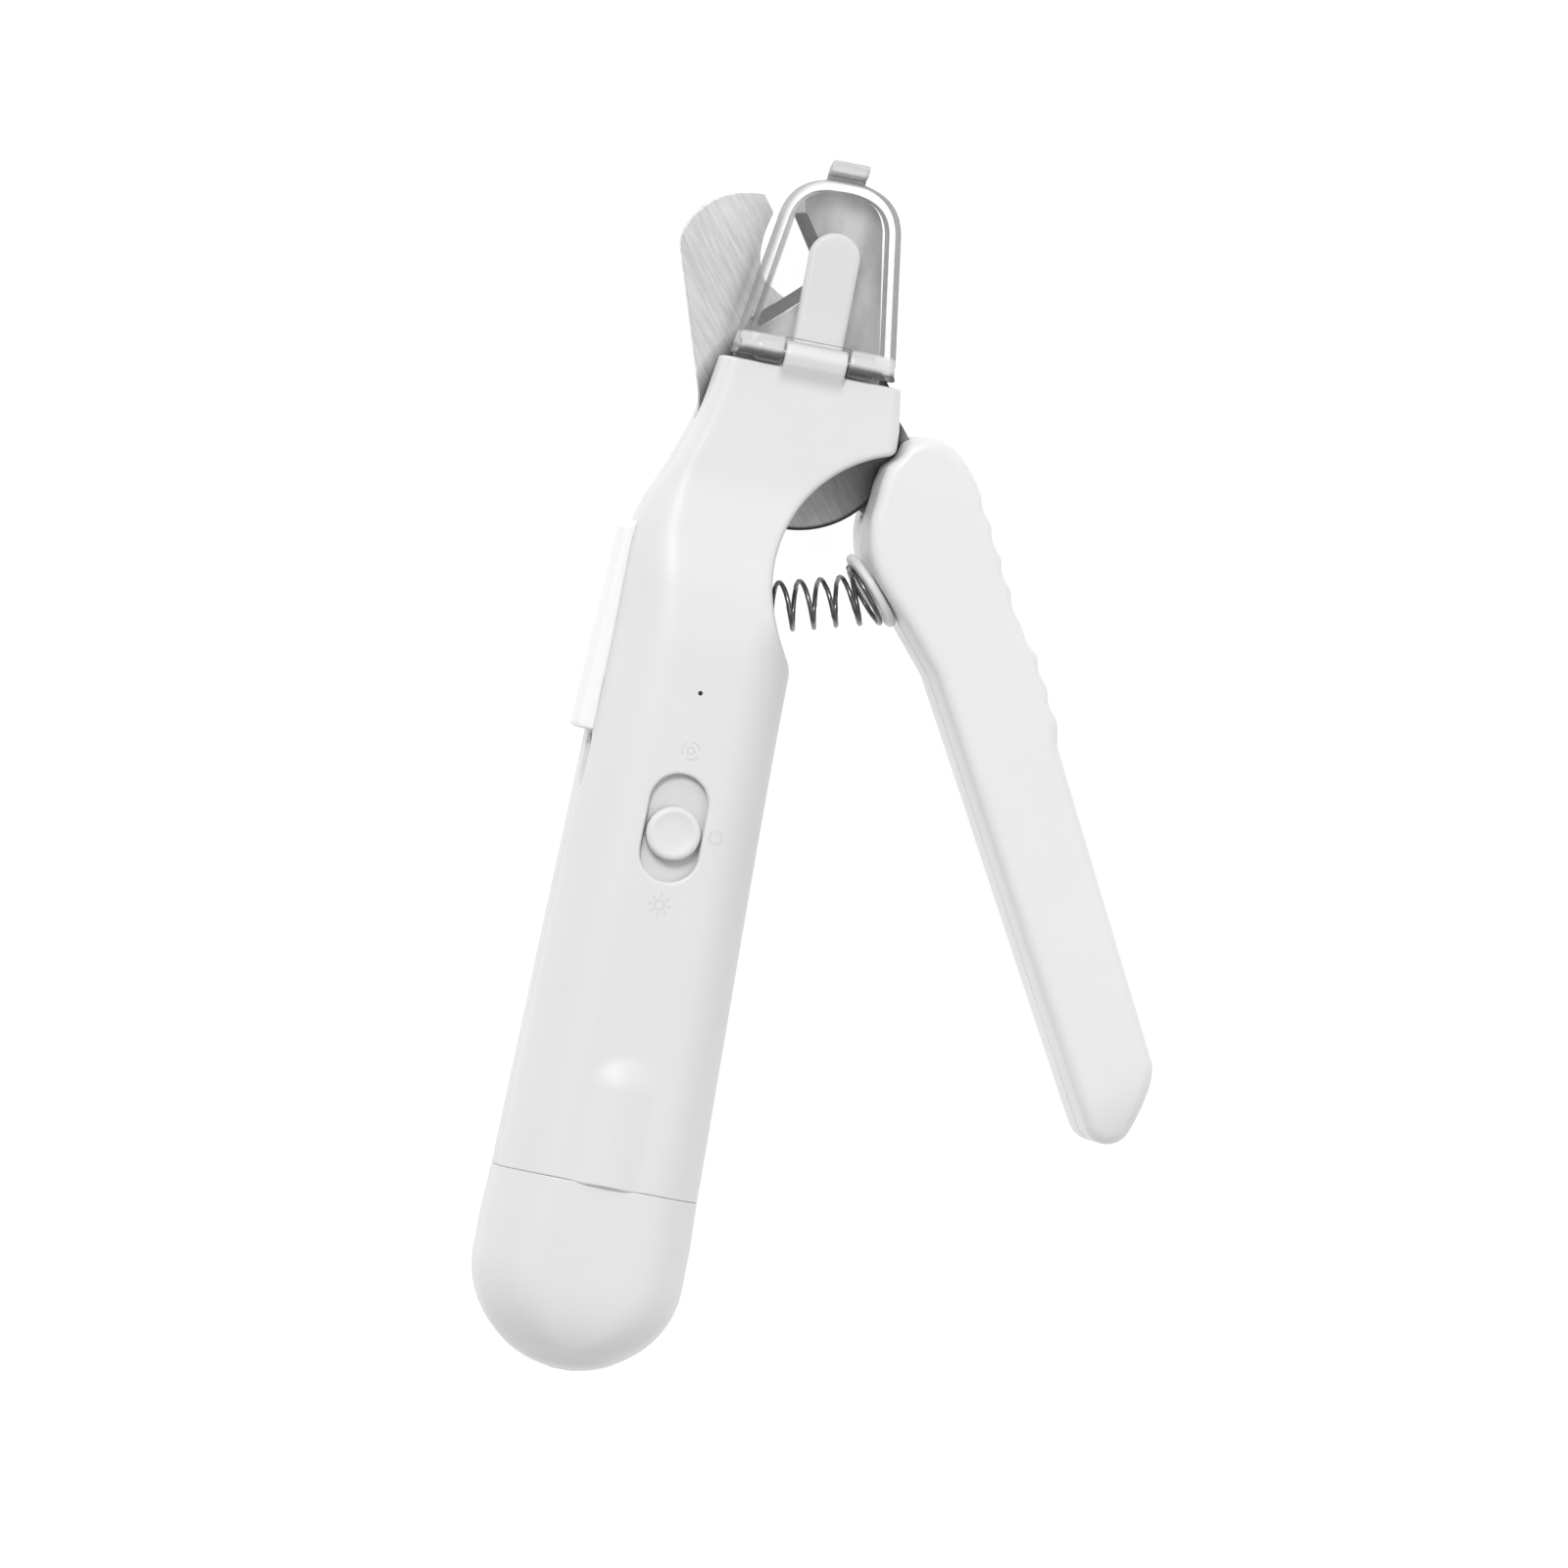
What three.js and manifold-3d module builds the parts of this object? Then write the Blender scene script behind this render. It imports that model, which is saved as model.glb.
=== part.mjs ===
// Electric pet nail clipper and grinder, in millimetres, lying on its back.
// +Z points out of the front face, +Y runs along the handle towards the blades,
// and the origin is the middle of the flat on the back of the handle.
import * as THREE from "three";
import { mergeVertices } from "three/addons/utils/BufferGeometryUtils.js";
import Module from "manifold-3d";

const wasm = await Module();
wasm.setup();

// ---------------------------------------------------------------- driving dimensions
const MID_Z = 10.3; // parting plane of the handle and of the lever
const SEAM_Y = -34.8; // where the tail cap meets the handle
const TAIL_Y = -59; // end of the tail cap
const PIVOT_X = 7.4; // blade pivot, seen from the front
const PIVOT_Y = 65;
const HEAD_TOP = 7.5; // top edge of the head, measured from the pivot
const WALL = 2; // shell wall
const SEAM_GAP = 0.15; // each shell stops this far short of the parting plane
const FIT = 0.3; // clearance between pieces that touch
const BLADE = 2; // blade thickness
const MOVING_Z = 8.2; // rear face of the moving blade
const FIXED_Z = 10.4; // rear face of the fixed blade
const PIN_R = 2.5; // pivot pin
const NOTCH = { x: 16.5, y: -17.8, r: 17.4 }; // cut-out between head and handle, from the pivot
const LEVER_DEPTH = 18;
const SPRING = { coil: 3.05, lastCoil: 4.1, wire: 0.32, turns: 6.25, start: -0.25 };
const SPRING_LINE = [[-4, -24.1], [2, -22.7], [10.8, -20.5], [12.3, -19.2]]; // from handle to lever
const HINGE = { x: -0.75, y: 9.3, z: 18, r: 1.6, pin: 0.6, half: 4.05, reach: 7.7 }; // from the pivot
const GUIDE = { left: -3.6, right: 2.9, foot: 5.2, top: 25.6 }; // light guide, from the pivot
const RIB = { radius: 5.6, height: 0.8, top: -22.4 }; // thumb rib above the cap
// Outer edge of the lever: its start, its heading in degrees, a swelling and finger grooves.
const GRIP = { x: 26, y: -8, heading: -62.1, from: 12.5, to: 29.5, swell: 0.85 };
const GROOVES = { count: 7, first: -3, pitch: 4.4, radius: 2.4, depth: 0.35 };
const SLOT = { y: 11.85, length: 13.9, r: 3.8 }; // opening of the slide switch
const PLATE = { y: 11.15, half: 10.4, travel: 3.6, top: 19.2 }; // slides below that opening
const BUTTON_R = 3.5;
const PORT = { y: 18.6, z: 12.3, length: 7.2, height: 2.8 }; // charging socket
const SCREWS = [[-3.2, 41], [-6.2, 55.4], [-8.3, -8.7], [8.3, -8.7]]; // shell screws
const LEVER_SCREWS = [[18.3, -6], [21.6, -13.4], [50.6, -69]]; // from the pivot

// Form of the handle and head: [distance along Y, value].
const LEFT_EDGE = [[-35.3, -13.1], [34, -11.75], [46, -11.6], [49.5, -11.3], [52.5, -10.5],
  [56, -9], [60, -7.4], [65, -5.9], [72.5, -4.7]];
const RIGHT_EDGE = [[-35.3, 13.1], [34, 11.75], [44, 15], [62, 19.5], [66, 19.4], [72.5, 18.5]];
const HALF_DEPTH = [[-35.3, 10.3], [34, 10.3], [42, 9.8], [50, 8.5], [58, 7.5], [72.5, 7.5]];
const FRONT_CORNER = [[-35.3, 8], [34, 8], [50, 5], [60, 2], [72.5, 1.8]];
const REAR_CORNER = [[-35.3, 6], [34, 6], [50, 5], [60, 3.2], [72.5, 3]];
const HEAD_TOP_Y = PIVOT_Y + HEAD_TOP;
const STATIONS = [-10, 15, 34, 38, 42, 46, 49.5, 52.5, 56, 60, 65, 69];

// ---------------------------------------------------------------- materials
const finish = (color, roughness, metalness = 0) =>
  new THREE.MeshStandardMaterial({ color, roughness, metalness });
const WHITE = finish(0xe9e9e9, 0.35);
const SOFT_WHITE = finish(0xf7f7f7, 0.6);
const STEEL = finish(0xc6c8ca, 0.3, 1);
const DARK_STEEL = finish(0x77797b, 0.3, 1);
const CLEAR = new THREE.MeshStandardMaterial({
  color: 0xf4f8fa, roughness: 0.05, transparent: true, opacity: 0.3,
});
const FROSTED = finish(0xeeeeec, 0.5);
const GRIT = finish(0x8d8f90, 0.95, 0.2);
const BOARD = finish(0x1d6b3a, 0.6);
const CELL = finish(0x2f62a8, 0.5);
const BLACK = finish(0x222222, 0.5);
const RED = finish(0xb02020, 0.5);
const LAMP = finish(0xfff3c0, 0.3);

// ---------------------------------------------------------------- solids
const X_AXIS = new THREE.Vector3(1, 0, 0);
const Y_AXIS = new THREE.Vector3(0, 1, 0);
const Z_AXIS = new THREE.Vector3(0, 0, 1);

// A closed geometry as a solid that can be cut and joined.
function solid(geometry) {
  const flat = geometry.index ? geometry.toNonIndexed() : geometry;
  const bare = new THREE.BufferGeometry();
  bare.setAttribute("position", flat.getAttribute("position"));
  const merged = mergeVertices(bare, 1e-4);
  return new wasm.Manifold(new wasm.Mesh({
    numProp: 3,
    vertProperties: merged.attributes.position.array,
    triVerts: new Uint32Array(merged.index.array),
  }));
}

function part(name, material, made) {
  const source = made.getMesh();
  const geometry = new THREE.BufferGeometry();
  geometry.setAttribute("position", new THREE.BufferAttribute(source.vertProperties, 3));
  geometry.setIndex(new THREE.BufferAttribute(source.triVerts, 1));
  geometry.computeVertexNormals();
  const mesh = new THREE.Mesh(geometry, material);
  mesh.name = name;
  return mesh;
}

const joined = (...pieces) => pieces.reduce((a, b) => a.add(b));
const cut = (piece, ...tools) => tools.reduce((a, b) => a.subtract(b), piece);

function outline(points) {
  return new THREE.Shape(points.map(([x, y]) => new THREE.Vector2(x, y)));
}

// A flat outline raised from z0 to z1.
function prism(shape, z0, z1, curveSegments = 8) {
  const options = { depth: z1 - z0, bevelEnabled: false, curveSegments };
  return solid(new THREE.ExtrudeGeometry(shape, options).translate(0, 0, z0));
}

// The same, moved in from the outline by inset, with both long edges rounded.
function rounded(shape, z0, z1, radius, inset = 0, steps = 3, curveSegments = 8) {
  const options = {
    depth: z1 - z0 - 2 * radius,
    bevelThickness: radius,
    bevelSize: radius,
    bevelOffset: -radius - inset,
    bevelSegments: steps,
    curveSegments,
  };
  return solid(new THREE.ExtrudeGeometry(shape, options).translate(0, 0, z0 + radius));
}

function block([x0, y0, z0], [x1, y1, z1]) {
  const geometry = new THREE.BoxGeometry(x1 - x0, y1 - y0, z1 - z0);
  return solid(geometry.translate((x0 + x1) / 2, (y0 + y1) / 2, (z0 + z1) / 2));
}

// A round bar from one point to another.
function bar(from, to, radius, sides = 24) {
  const a = new THREE.Vector3(...from);
  const along = new THREE.Vector3(...to).sub(a);
  const geometry = new THREE.CylinderGeometry(radius, radius, along.length(), sides);
  geometry.translate(0, along.length() / 2, 0);
  geometry.applyQuaternion(new THREE.Quaternion().setFromUnitVectors(Y_AXIS, along.normalize()));
  return solid(geometry.translate(a.x, a.y, a.z));
}

const post = (x, y, z0, z1, radius, sides = 20) => bar([x, y, z0], [x, y, z1], radius, sides);

// A turned piece: its profile is [radius, height] pairs from axis to axis, about a line along axis.
function turned(profile, axis, [x, y, z], sides = 24) {
  const geometry = new THREE.LatheGeometry(profile.map(([r, h]) => new THREE.Vector2(r, h)), sides);
  geometry.applyQuaternion(new THREE.Quaternion().setFromUnitVectors(Y_AXIS, axis));
  return solid(geometry.translate(x, y, z));
}

// A solid skin through rings with equal numbers of points, closed by a fan at each end.
function loft(rings) {
  const n = rings[0].length;
  const points = rings.flat();
  const ends = [rings[0], rings[rings.length - 1]];
  for (const ring of ends) {
    const middle = ring.reduce((a, p) => a.add(p), new THREE.Vector3()).divideScalar(n);
    points.push(middle);
  }
  const index = [];
  for (let i = 0; i + 1 < rings.length; i++) {
    for (let j = 0; j < n; j++) {
      const k = (j + 1) % n;
      index.push(i * n + j, (i + 1) * n + k, i * n + k);
      index.push(i * n + j, (i + 1) * n + j, (i + 1) * n + k);
    }
  }
  const last = (rings.length - 1) * n;
  for (let j = 0; j < n; j++) {
    const k = (j + 1) % n;
    index.push(points.length - 2, j, k);
    index.push(points.length - 1, last + k, last + j);
  }
  const geometry = new THREE.BufferGeometry().setFromPoints(points);
  geometry.setIndex(index);
  return solid(geometry);
}

// A wire or tube along a curve.
function tube(curve, radius, steps, sides = 6) {
  const section = new THREE.Shape();
  for (let i = 0; i < sides; i++) {
    const turn = (i / sides) * 2 * Math.PI;
    const [x, y] = [radius * Math.cos(turn), radius * Math.sin(turn)];
    if (i === 0) section.moveTo(x, y);
    else section.lineTo(x, y);
  }
  const options = { steps, extrudePath: curve, bevelEnabled: false };
  return solid(new THREE.ExtrudeGeometry(section, options));
}

// ---------------------------------------------------------------- form of the handle
// Smooth value at y through [y, value] pairs, never beyond its neighbours.
function along(pairs, y) {
  const last = pairs.length - 1;
  if (y <= pairs[0][0]) return pairs[0][1];
  if (y >= pairs[last][0]) return pairs[last][1];
  const slope = (i) => (pairs[i + 1][1] - pairs[i][1]) / (pairs[i + 1][0] - pairs[i][0]);
  const tangent = (i) => {
    if (i === 0) return slope(0);
    if (i === last) return slope(last - 1);
    const [a, b] = [slope(i - 1), slope(i)];
    return a * b <= 0 ? 0 : (2 * a * b) / (a + b);
  };
  const i = pairs.findIndex(([at]) => at > y) - 1;
  const [[y0, v0], [y1, v1]] = [pairs[i], pairs[i + 1]];
  const span = y1 - y0;
  const t = (y - y0) / span;
  return (2 * t ** 3 - 3 * t ** 2 + 1) * v0 + (t ** 3 - 2 * t ** 2 + t) * span * tangent(i)
    + (3 * t ** 2 - 2 * t ** 3) * v1 + (t ** 3 - t ** 2) * span * tangent(i + 1);
}

// A rectangle with round corners across the handle, as a ring of points at y.
function ring(y, left, right, rear, front, rearCorner, frontCorner, perCorner = 6) {
  const most = Math.min(right - left, front - rear) / 2 - 0.01;
  const [rr, fr] = [Math.min(rearCorner, most), Math.min(frontCorner, most)];
  const corners = [
    [right - rr, rear + rr, rr, -90],
    [right - fr, front - fr, fr, 0],
    [left + fr, front - fr, fr, 90],
    [left + rr, rear + rr, rr, 180],
  ];
  return corners.flatMap(([x, z, r, start]) =>
    Array.from({ length: perCorner }, (_, i) => {
      const turn = THREE.MathUtils.degToRad(start + (90 * i) / (perCorner - 1));
      return new THREE.Vector3(x + r * Math.cos(turn), y, z + r * Math.sin(turn));
    }));
}

function bodyRing(y, inset = 0) {
  const half = along(HALF_DEPTH, y);
  return ring(y, along(LEFT_EDGE, y) + inset, along(RIGHT_EDGE, y) - inset,
    MID_Z - half + inset, MID_Z + half - inset,
    Math.max(along(REAR_CORNER, y) - inset, 0.8), Math.max(along(FRONT_CORNER, y) - inset, 0.8));
}

const inHead = (piece) => piece.translate([PIVOT_X, PIVOT_Y, 0]);
const notchBar = (radius) => inHead(post(NOTCH.x, NOTCH.y, -5, 30, radius, 72));

function handleForm() {
  const softEdge = 0.7;
  const rings = [bodyRing(SEAM_Y), ...STATIONS.map((y) => bodyRing(y)),
    bodyRing(HEAD_TOP_Y - softEdge), bodyRing(HEAD_TOP_Y, softEdge)].map((r, i, all) =>
    (i === all.length - 1 ? r.map((p) => p.setY(HEAD_TOP_Y)) : r));
  return cut(loft(rings), notchBar(NOTCH.r));
}

function handleHollow() {
  const rings = [SEAM_Y - 1, ...STATIONS.slice(0, -1), HEAD_TOP_Y - WALL]
    .map((y) => bodyRing(y, WALL));
  const notchWall = 2.2;
  return cut(loft(rings), notchBar(NOTCH.r + notchWall));
}

// ---------------------------------------------------------------- blades
// Moving blade: jaw, disc about the pivot, and the tang that the lever grips.
function movingBladeShape() {
  const disc = 12.87;
  const shape = new THREE.Shape();
  shape.moveTo(-10.2, 28.8);
  shape.quadraticCurveTo(-15.9, 28.6, -18.4, 24.8);
  shape.quadraticCurveTo(-20.1, 22.2, -19.5, 20);
  shape.lineTo(-13.6, 2.3);
  shape.lineTo(-12.6, -2.6);
  shape.absarc(0, 0, disc, Math.atan2(-2.6, -12.6), Math.atan2(-8.6, 9.6), false);
  shape.lineTo(14.6, -12.4);
  shape.lineTo(19.4, -18.2);
  shape.lineTo(24.4, -15.6);
  shape.lineTo(22.2, -9);
  shape.lineTo(19, -3.4);
  shape.lineTo(14.8, 0.9);
  shape.lineTo(12.3, 3.8);
  shape.absarc(0, 0, disc, Math.atan2(3.8, 12.3), Math.atan2(9.8, 8.3), false);
  shape.lineTo(-5.9, 16.6);
  shape.lineTo(-7.9, 17.8);
  shape.quadraticCurveTo(-10.4, 20.8, -8.6, 26.7);
  shape.closePath();
  return shape;
}

// Fixed blade: a hook round the nail opening on a root that lies in the head.
function fixedBladeShape() {
  const shape = new THREE.Shape();
  shape.moveTo(-9.5, -6);
  shape.lineTo(0.3, -6);
  shape.lineTo(4.2, -2);
  shape.lineTo(9.2, 1.4);
  shape.lineTo(8.7, 7.5);
  shape.lineTo(5.5, 26.4);
  shape.bezierCurveTo(5, 29.8, 2.8, 31, -0.4, 31);
  shape.bezierCurveTo(-2.6, 31, -4.5, 30.7, -5.3, 29.3);
  shape.lineTo(-6.2, 27.1);
  shape.lineTo(-2, 20.9);
  shape.quadraticCurveTo(-1.4, 20.1, -2, 19.4);
  shape.lineTo(-9.1, 12.8);
  shape.lineTo(-10.4, 8);
  shape.closePath();
  return shape;
}

// The wedge that grinds a cutting edge from a to b, the blade lying to the left of that way.
function edgeGrind(a, b, keptFace, groundFace) {
  const [from, to] = [new THREE.Vector3(...a, 0), new THREE.Vector3(...b, 0)];
  const way = to.clone().sub(from);
  const length = way.length();
  way.normalize();
  const into = new THREE.Vector3(-way.y, way.x, 0);
  const up = Math.sign(groundFace - keptFace);
  const land = 0.4;
  const spare = 0.6;
  const width = Math.abs(groundFace - keptFace) - land;
  const wedge = new THREE.Shape();
  wedge.moveTo(-spare, land - spare);
  wedge.lineTo(width + spare, land + width + spare);
  wedge.lineTo(-spare, land + width + spare);
  wedge.closePath();
  const geometry = new THREE.ExtrudeGeometry(wedge, { depth: length, bevelEnabled: false });
  const basis = new THREE.Matrix4().makeBasis(into, Z_AXIS.clone().multiplyScalar(up), way);
  basis.setPosition(from.x, from.y, keptFace);
  geometry.applyMatrix4(basis);
  if (basis.determinant() < 0) {
    const flipped = geometry.getAttribute("position");
    for (let i = 0; i < flipped.count; i += 3) {
      const [p, q] = [1, 2].map((k) => new THREE.Vector3().fromBufferAttribute(flipped, i + k));
      flipped.setXYZ(i + 1, q.x, q.y, q.z);
      flipped.setXYZ(i + 2, p.x, p.y, p.z);
    }
  }
  return solid(geometry);
}

function movingBlade() {
  const plate = prism(movingBladeShape(), MOVING_Z, MOVING_Z + BLADE, 10);
  const cuttingFace = MOVING_Z + BLADE;
  return cut(plate, post(0, 0, 0, 30, PIN_R + 0.12),
    ...LEVER_SCREWS.slice(0, 2).map(([x, y]) => post(x, y, 0, 30, 1.5, 12)),
    edgeGrind([-9.5, 20.5], [-8.2, 28.2], cuttingFace, MOVING_Z),
    edgeGrind([0.6, 13.2], [-9, 18.6], cuttingFace, MOVING_Z));
}

const BLADE_SCREWS = [[-7, 1.5], [6.6, 4]];

function fixedBlade() {
  const plate = prism(fixedBladeShape(), FIXED_Z, FIXED_Z + BLADE, 6);
  return cut(plate, post(0, 0, 0, 30, PIN_R + 0.12),
    ...BLADE_SCREWS.map(([x, y]) => post(x, y, 0, 30, 1.3, 12)),
    ...BLADE_SCREWS.map(([x, y]) => post(x, y, 0, FIXED_Z + 1.3, 2.2, 12)),
    edgeGrind([-1.4, 19.9], [-9.8, 12.1], FIXED_Z, FIXED_Z + BLADE),
    edgeGrind([-7, 28.4], [-1.4, 20.1], FIXED_Z, FIXED_Z + BLADE));
}

// ---------------------------------------------------------------- shells
// A raised round-ended rib that runs down to the edge of the cap.
function thumbRib() {
  const front = MID_Z + along(HALF_DEPTH, SEAM_Y);
  const { radius, height, top } = RIB;
  const roundEnd = Array.from({ length: 9 }, (_, i) => {
    const turn = (Math.PI / 2) * (i / 8);
    return [i === 8 ? 0 : radius * Math.cos(turn), top + radius * Math.sin(turn)];
  });
  const whole = turned([[0, SEAM_Y], [radius, SEAM_Y], ...roundEnd], Y_AXIS,
    [0, 0, front + height - radius], 72);
  return whole.intersect(block([-6, SEAM_Y, front - 1], [6, 0, front + 5]));
}

function hingeSaddle() {
  const { x, y, z, r, half } = HINGE;
  const profile = outline([[5.4, 16.6], [y, 16.4], [y, z + r], [y - 1.4, 19.3], [5.4, 17.5]]);
  const options = { depth: 2 * half, bevelEnabled: false };
  const geometry = new THREE.ExtrudeGeometry(profile, options);
  const basis = new THREE.Matrix4().makeBasis(Y_AXIS, Z_AXIS, X_AXIS).setPosition(x - half, 0, 0);
  const barrel = bar([x - half, y, z], [x + half, y, z], r);
  const bore = bar([x - half - 1, y, z], [x + half + 1, y, z], HINGE.pin + 0.05, 12);
  return inHead(cut(joined(solid(geometry.applyMatrix4(basis)), barrel), bore));
}

// The round well in the notch wall that the handle end of the spring sits in.
function springWell() {
  const [x, y] = SPRING_LINE[0];
  return inHead(bar([x - 0.7, y - 0.1, MID_Z], [x + 9, y + 2, MID_Z], SPRING.coil + 0.75));
}

function slotPrism(radius, length, z0, z1) {
  const run = length / 2 - radius;
  const shape = new THREE.Shape();
  shape.absarc(0, SLOT.y + run, radius, 0, Math.PI, false);
  shape.absarc(0, SLOT.y - run, radius, Math.PI, 2 * Math.PI, false);
  return prism(shape, z0, z1, 10);
}

// The thinned place in the front wall that the switch plate slides in.
function platePocket() {
  const reach = PLATE.half + PLATE.travel + FIT;
  return block([-5, PLATE.y - reach, 17], [5, PLATE.y + reach, PLATE.top + FIT]);
}

function frontShell() {
  const half = cut(handleForm(), block([-40, -70, -5], [40, 90, MID_Z + SEAM_GAP]));
  const underside = (y) => MID_Z + along(HALF_DEPTH, y) - WALL;
  const bosses = SCREWS.map(([x, y]) => post(x, y, MID_Z + SEAM_GAP, underside(y) + 0.4, 2.2, 16));
  const bladeBosses = BLADE_SCREWS.map(([x, y]) =>
    inHead(post(x, y, FIXED_Z + BLADE + FIT, 16.2, 2.4, 16)));
  const posts = joined(...bosses, ...bladeBosses).intersect(half);
  const shell = cut(half, handleHollow()).add(posts);
  const bladeRoot = block([-11.2, -8, 9], [9.9, 9, FIXED_Z + BLADE + FIT]);
  const guideSlot = block([GUIDE.left - FIT, 4, 12.5], [GUIDE.right + FIT, 9, 15.9]);
  return joined(cut(shell.add(thumbRib()),
    inHead(cut(bladeRoot, notchBar(NOTCH.r + 2.4).translate([-PIVOT_X, -PIVOT_Y, 0]))),
    inHead(guideSlot),
    springWell(),
    slotPrism(SLOT.r, SLOT.length, 16, 24),
    platePocket(),
    post(0, 29.4, 15, 24, 0.45, 10),
    block([-16, PORT.y - PORT.length / 2 - 0.2, PORT.z - PORT.height / 2 - 0.2],
      [-8, PORT.y + PORT.length / 2 + 0.2, PORT.z + PORT.height / 2 + 0.2]),
    ...SCREWS.map(([x, y]) => post(x, y, 9, 16, 0.95, 10)),
    ...BLADE_SCREWS.map(([x, y]) => inHead(post(x, y, 12, 15.6, 0.95, 10)))), hingeSaddle());
}

function rearShell() {
  const half = cut(handleForm(), block([-40, -70, MID_Z - SEAM_GAP], [40, 90, 40]));
  const bosses = SCREWS.map(([x, y]) => post(x, y, 1, MID_Z - SEAM_GAP, 2.9, 16));
  const pivotSeat = inHead(post(0, 0, 4, 6, 4.6));
  const shell = cut(half, handleHollow()).add(joined(...bosses, pivotSeat).intersect(half));
  const slotFloor = MOVING_Z - 0.45;
  const sweep = joined(post(0, 0, slotFloor, 12, 13.4, 48),
    block([-24, 1.2, slotFloor], [13, 10, 12]), block([0, -15, slotFloor], [16, 4.6, 12]));
  return cut(shell,
    inHead(sweep),
    springWell(),
    ...SCREWS.map(([x, y]) => post(x, y, -1, 12, 1.25, 12)),
    ...SCREWS.map(([x, y]) => post(x, y, -1, screwSeat(x, y), 2.4, 16)));
}

const rearFace = (y) => MID_Z - along(HALF_DEPTH, y);
// Height of the step that a shell screw's head bears on.
function screwSeat(x, y) {
  return rearFace(y) + 3.2;
}

// A raised thumb rest on the left flank, growing towards the charging socket.
function sideGrip() {
  const shape = outline([[-11.55 - FIT, 49.6], [-13, 48.6], [-14.1, 22.6], [-13.6, 22.1],
    [-along(RIGHT_EDGE, 22.1) - FIT, 22.1], [-11.75 - FIT - 0.05, 34]]);
  return rounded(shape, 6.6, 14, 0.5, 0, 2);
}

// ---------------------------------------------------------------- fasteners
function screw(name, x, y, headZ, tipZ, headR = 2.1, headHeight = 1.5) {
  const length = tipZ - headZ;
  const shankR = 0.85;
  const profile = [[0, 0], [headR - 0.3, 0], [headR, 0.4], [headR, headHeight], [shankR, headHeight],
    [shankR, length - 0.6], [0, length]];
  return part(name, STEEL, turned(profile, Z_AXIS, [x, y, headZ], 12));
}

function pivotPin() {
  const profile = [[0, 6.3], [3.6, 6.3], [4, 6.7], [4, 7.55], [PIN_R, 7.55], [PIN_R, 12.65],
    [3.5, 12.65], [3.5, 13.2], [3, 13.6], [0, 13.6]];
  return turned(profile, Z_AXIS, [0, 0, 0]);
}

function washer(z0, z1) {
  return cut(post(0, 0, z0, z1, 4.1, 24), post(0, 0, 0, 30, PIN_R + 0.15, 24));
}

// ---------------------------------------------------------------- lever
// A point of the lever's outer edge, s along it and out from it.
function gripEdge(s, out = 0) {
  const turn = THREE.MathUtils.degToRad(GRIP.heading);
  const [ahead, side] = [Math.cos(turn), Math.sin(turn)];
  const t = THREE.MathUtils.clamp((s - GRIP.from) / (GRIP.to - GRIP.from), 0, 1);
  const away = out + GRIP.swell * Math.sin(Math.PI * t) ** 2;
  return new THREE.Vector2(GRIP.x + s * ahead - away * side, GRIP.y + s * side + away * ahead);
}

function leverShape(inset = 0) {
  const shape = new THREE.Shape();
  const tip = { x: 55.3, y: -79.3, r: 3.2 - inset };
  const inward = new THREE.Vector2(0.865, 0.5).multiplyScalar(inset);
  const inner = [[10.2, -10.4], [11.1, -14.4], [13.2, -17.6], [17.2, -21.8], [22.4, -27.8]]
    .map(([x, y]) => new THREE.Vector2(x, y).add(inward));
  const [top, left] = [2.2 - inset, 10.5 + inset];
  const [brow, crown] = [gripEdge(-1.3, -inset), gripEdge(71.5, -inset)];
  shape.moveTo(brow.x, brow.y);
  shape.bezierCurveTo(brow.x - 2.2, -2.4, 19.8, top, 16.6, top);
  shape.bezierCurveTo(12.9, top, left, -1.6, left, -6.6);
  shape.splineThru(inner);
  const [from, to] = [210, 349].map((turn) => THREE.MathUtils.degToRad(turn));
  shape.absarc(tip.x, tip.y, tip.r, from, to, false);
  shape.quadraticCurveTo(60.2 - inset, -74.2, crown.x, crown.y);
  for (let i = 8; i >= 0; i--) {
    const point = gripEdge(GRIP.from + ((GRIP.to - GRIP.from) * i) / 8, -inset);
    shape.lineTo(point.x, point.y);
  }
  shape.closePath();
  return shape;
}

// Shallow finger grooves along the outer edge.
function gripGrooves() {
  const { count, first, pitch, radius, depth } = GROOVES;
  return Array.from({ length: count }, (_, i) => {
    const at = gripEdge(first + i * pitch, radius - depth);
    return post(at.x, at.y, 0, 22, radius, 14);
  });
}

const LEVER_Z0 = MID_Z - LEVER_DEPTH / 2;
const LEVER_Z1 = MID_Z + LEVER_DEPTH / 2;
const CUP = { x: 12.95, y: -18.5, turn: THREE.MathUtils.degToRad(222.4) };
const cupPoint = (s) => [CUP.x + s * Math.cos(CUP.turn), CUP.y + s * Math.sin(CUP.turn), MID_Z];

function leverForm() {
  const outer = rounded(leverShape(), LEVER_Z0, LEVER_Z1, 1.4, 0, 2, 6);
  const hollow = rounded(leverShape(WALL), LEVER_Z0 + WALL, LEVER_Z1 - WALL, 0.6, 0, 1, 6);
  const tangSlot = block([7, -12.5, MOVING_Z - 0.35], [20, 3.4, MOVING_Z + BLADE + 0.35]);
  const headRelief = post(10.4, 0.3, 0, 22, 2.5, 16);
  return { outer, hollow, tangSlot, headRelief, stem: bar(cupPoint(-6), cupPoint(2), 2.5, 16) };
}

function leverFront() {
  const { outer, hollow, tangSlot, headRelief, stem } = leverForm();
  const low = MID_Z + SEAM_GAP;
  const bosses = LEVER_SCREWS.map(([x, y]) => post(x, y, low, 17.8, 2.2, 14));
  const half = cut(outer, block([-20, -100, -5], [80, 20, low]), hollow, ...gripGrooves());
  return cut(joined(half, ...bosses), tangSlot, headRelief, stem,
    ...LEVER_SCREWS.map(([x, y]) => post(x, y, 9, 16, 0.95, 10)));
}

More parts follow.
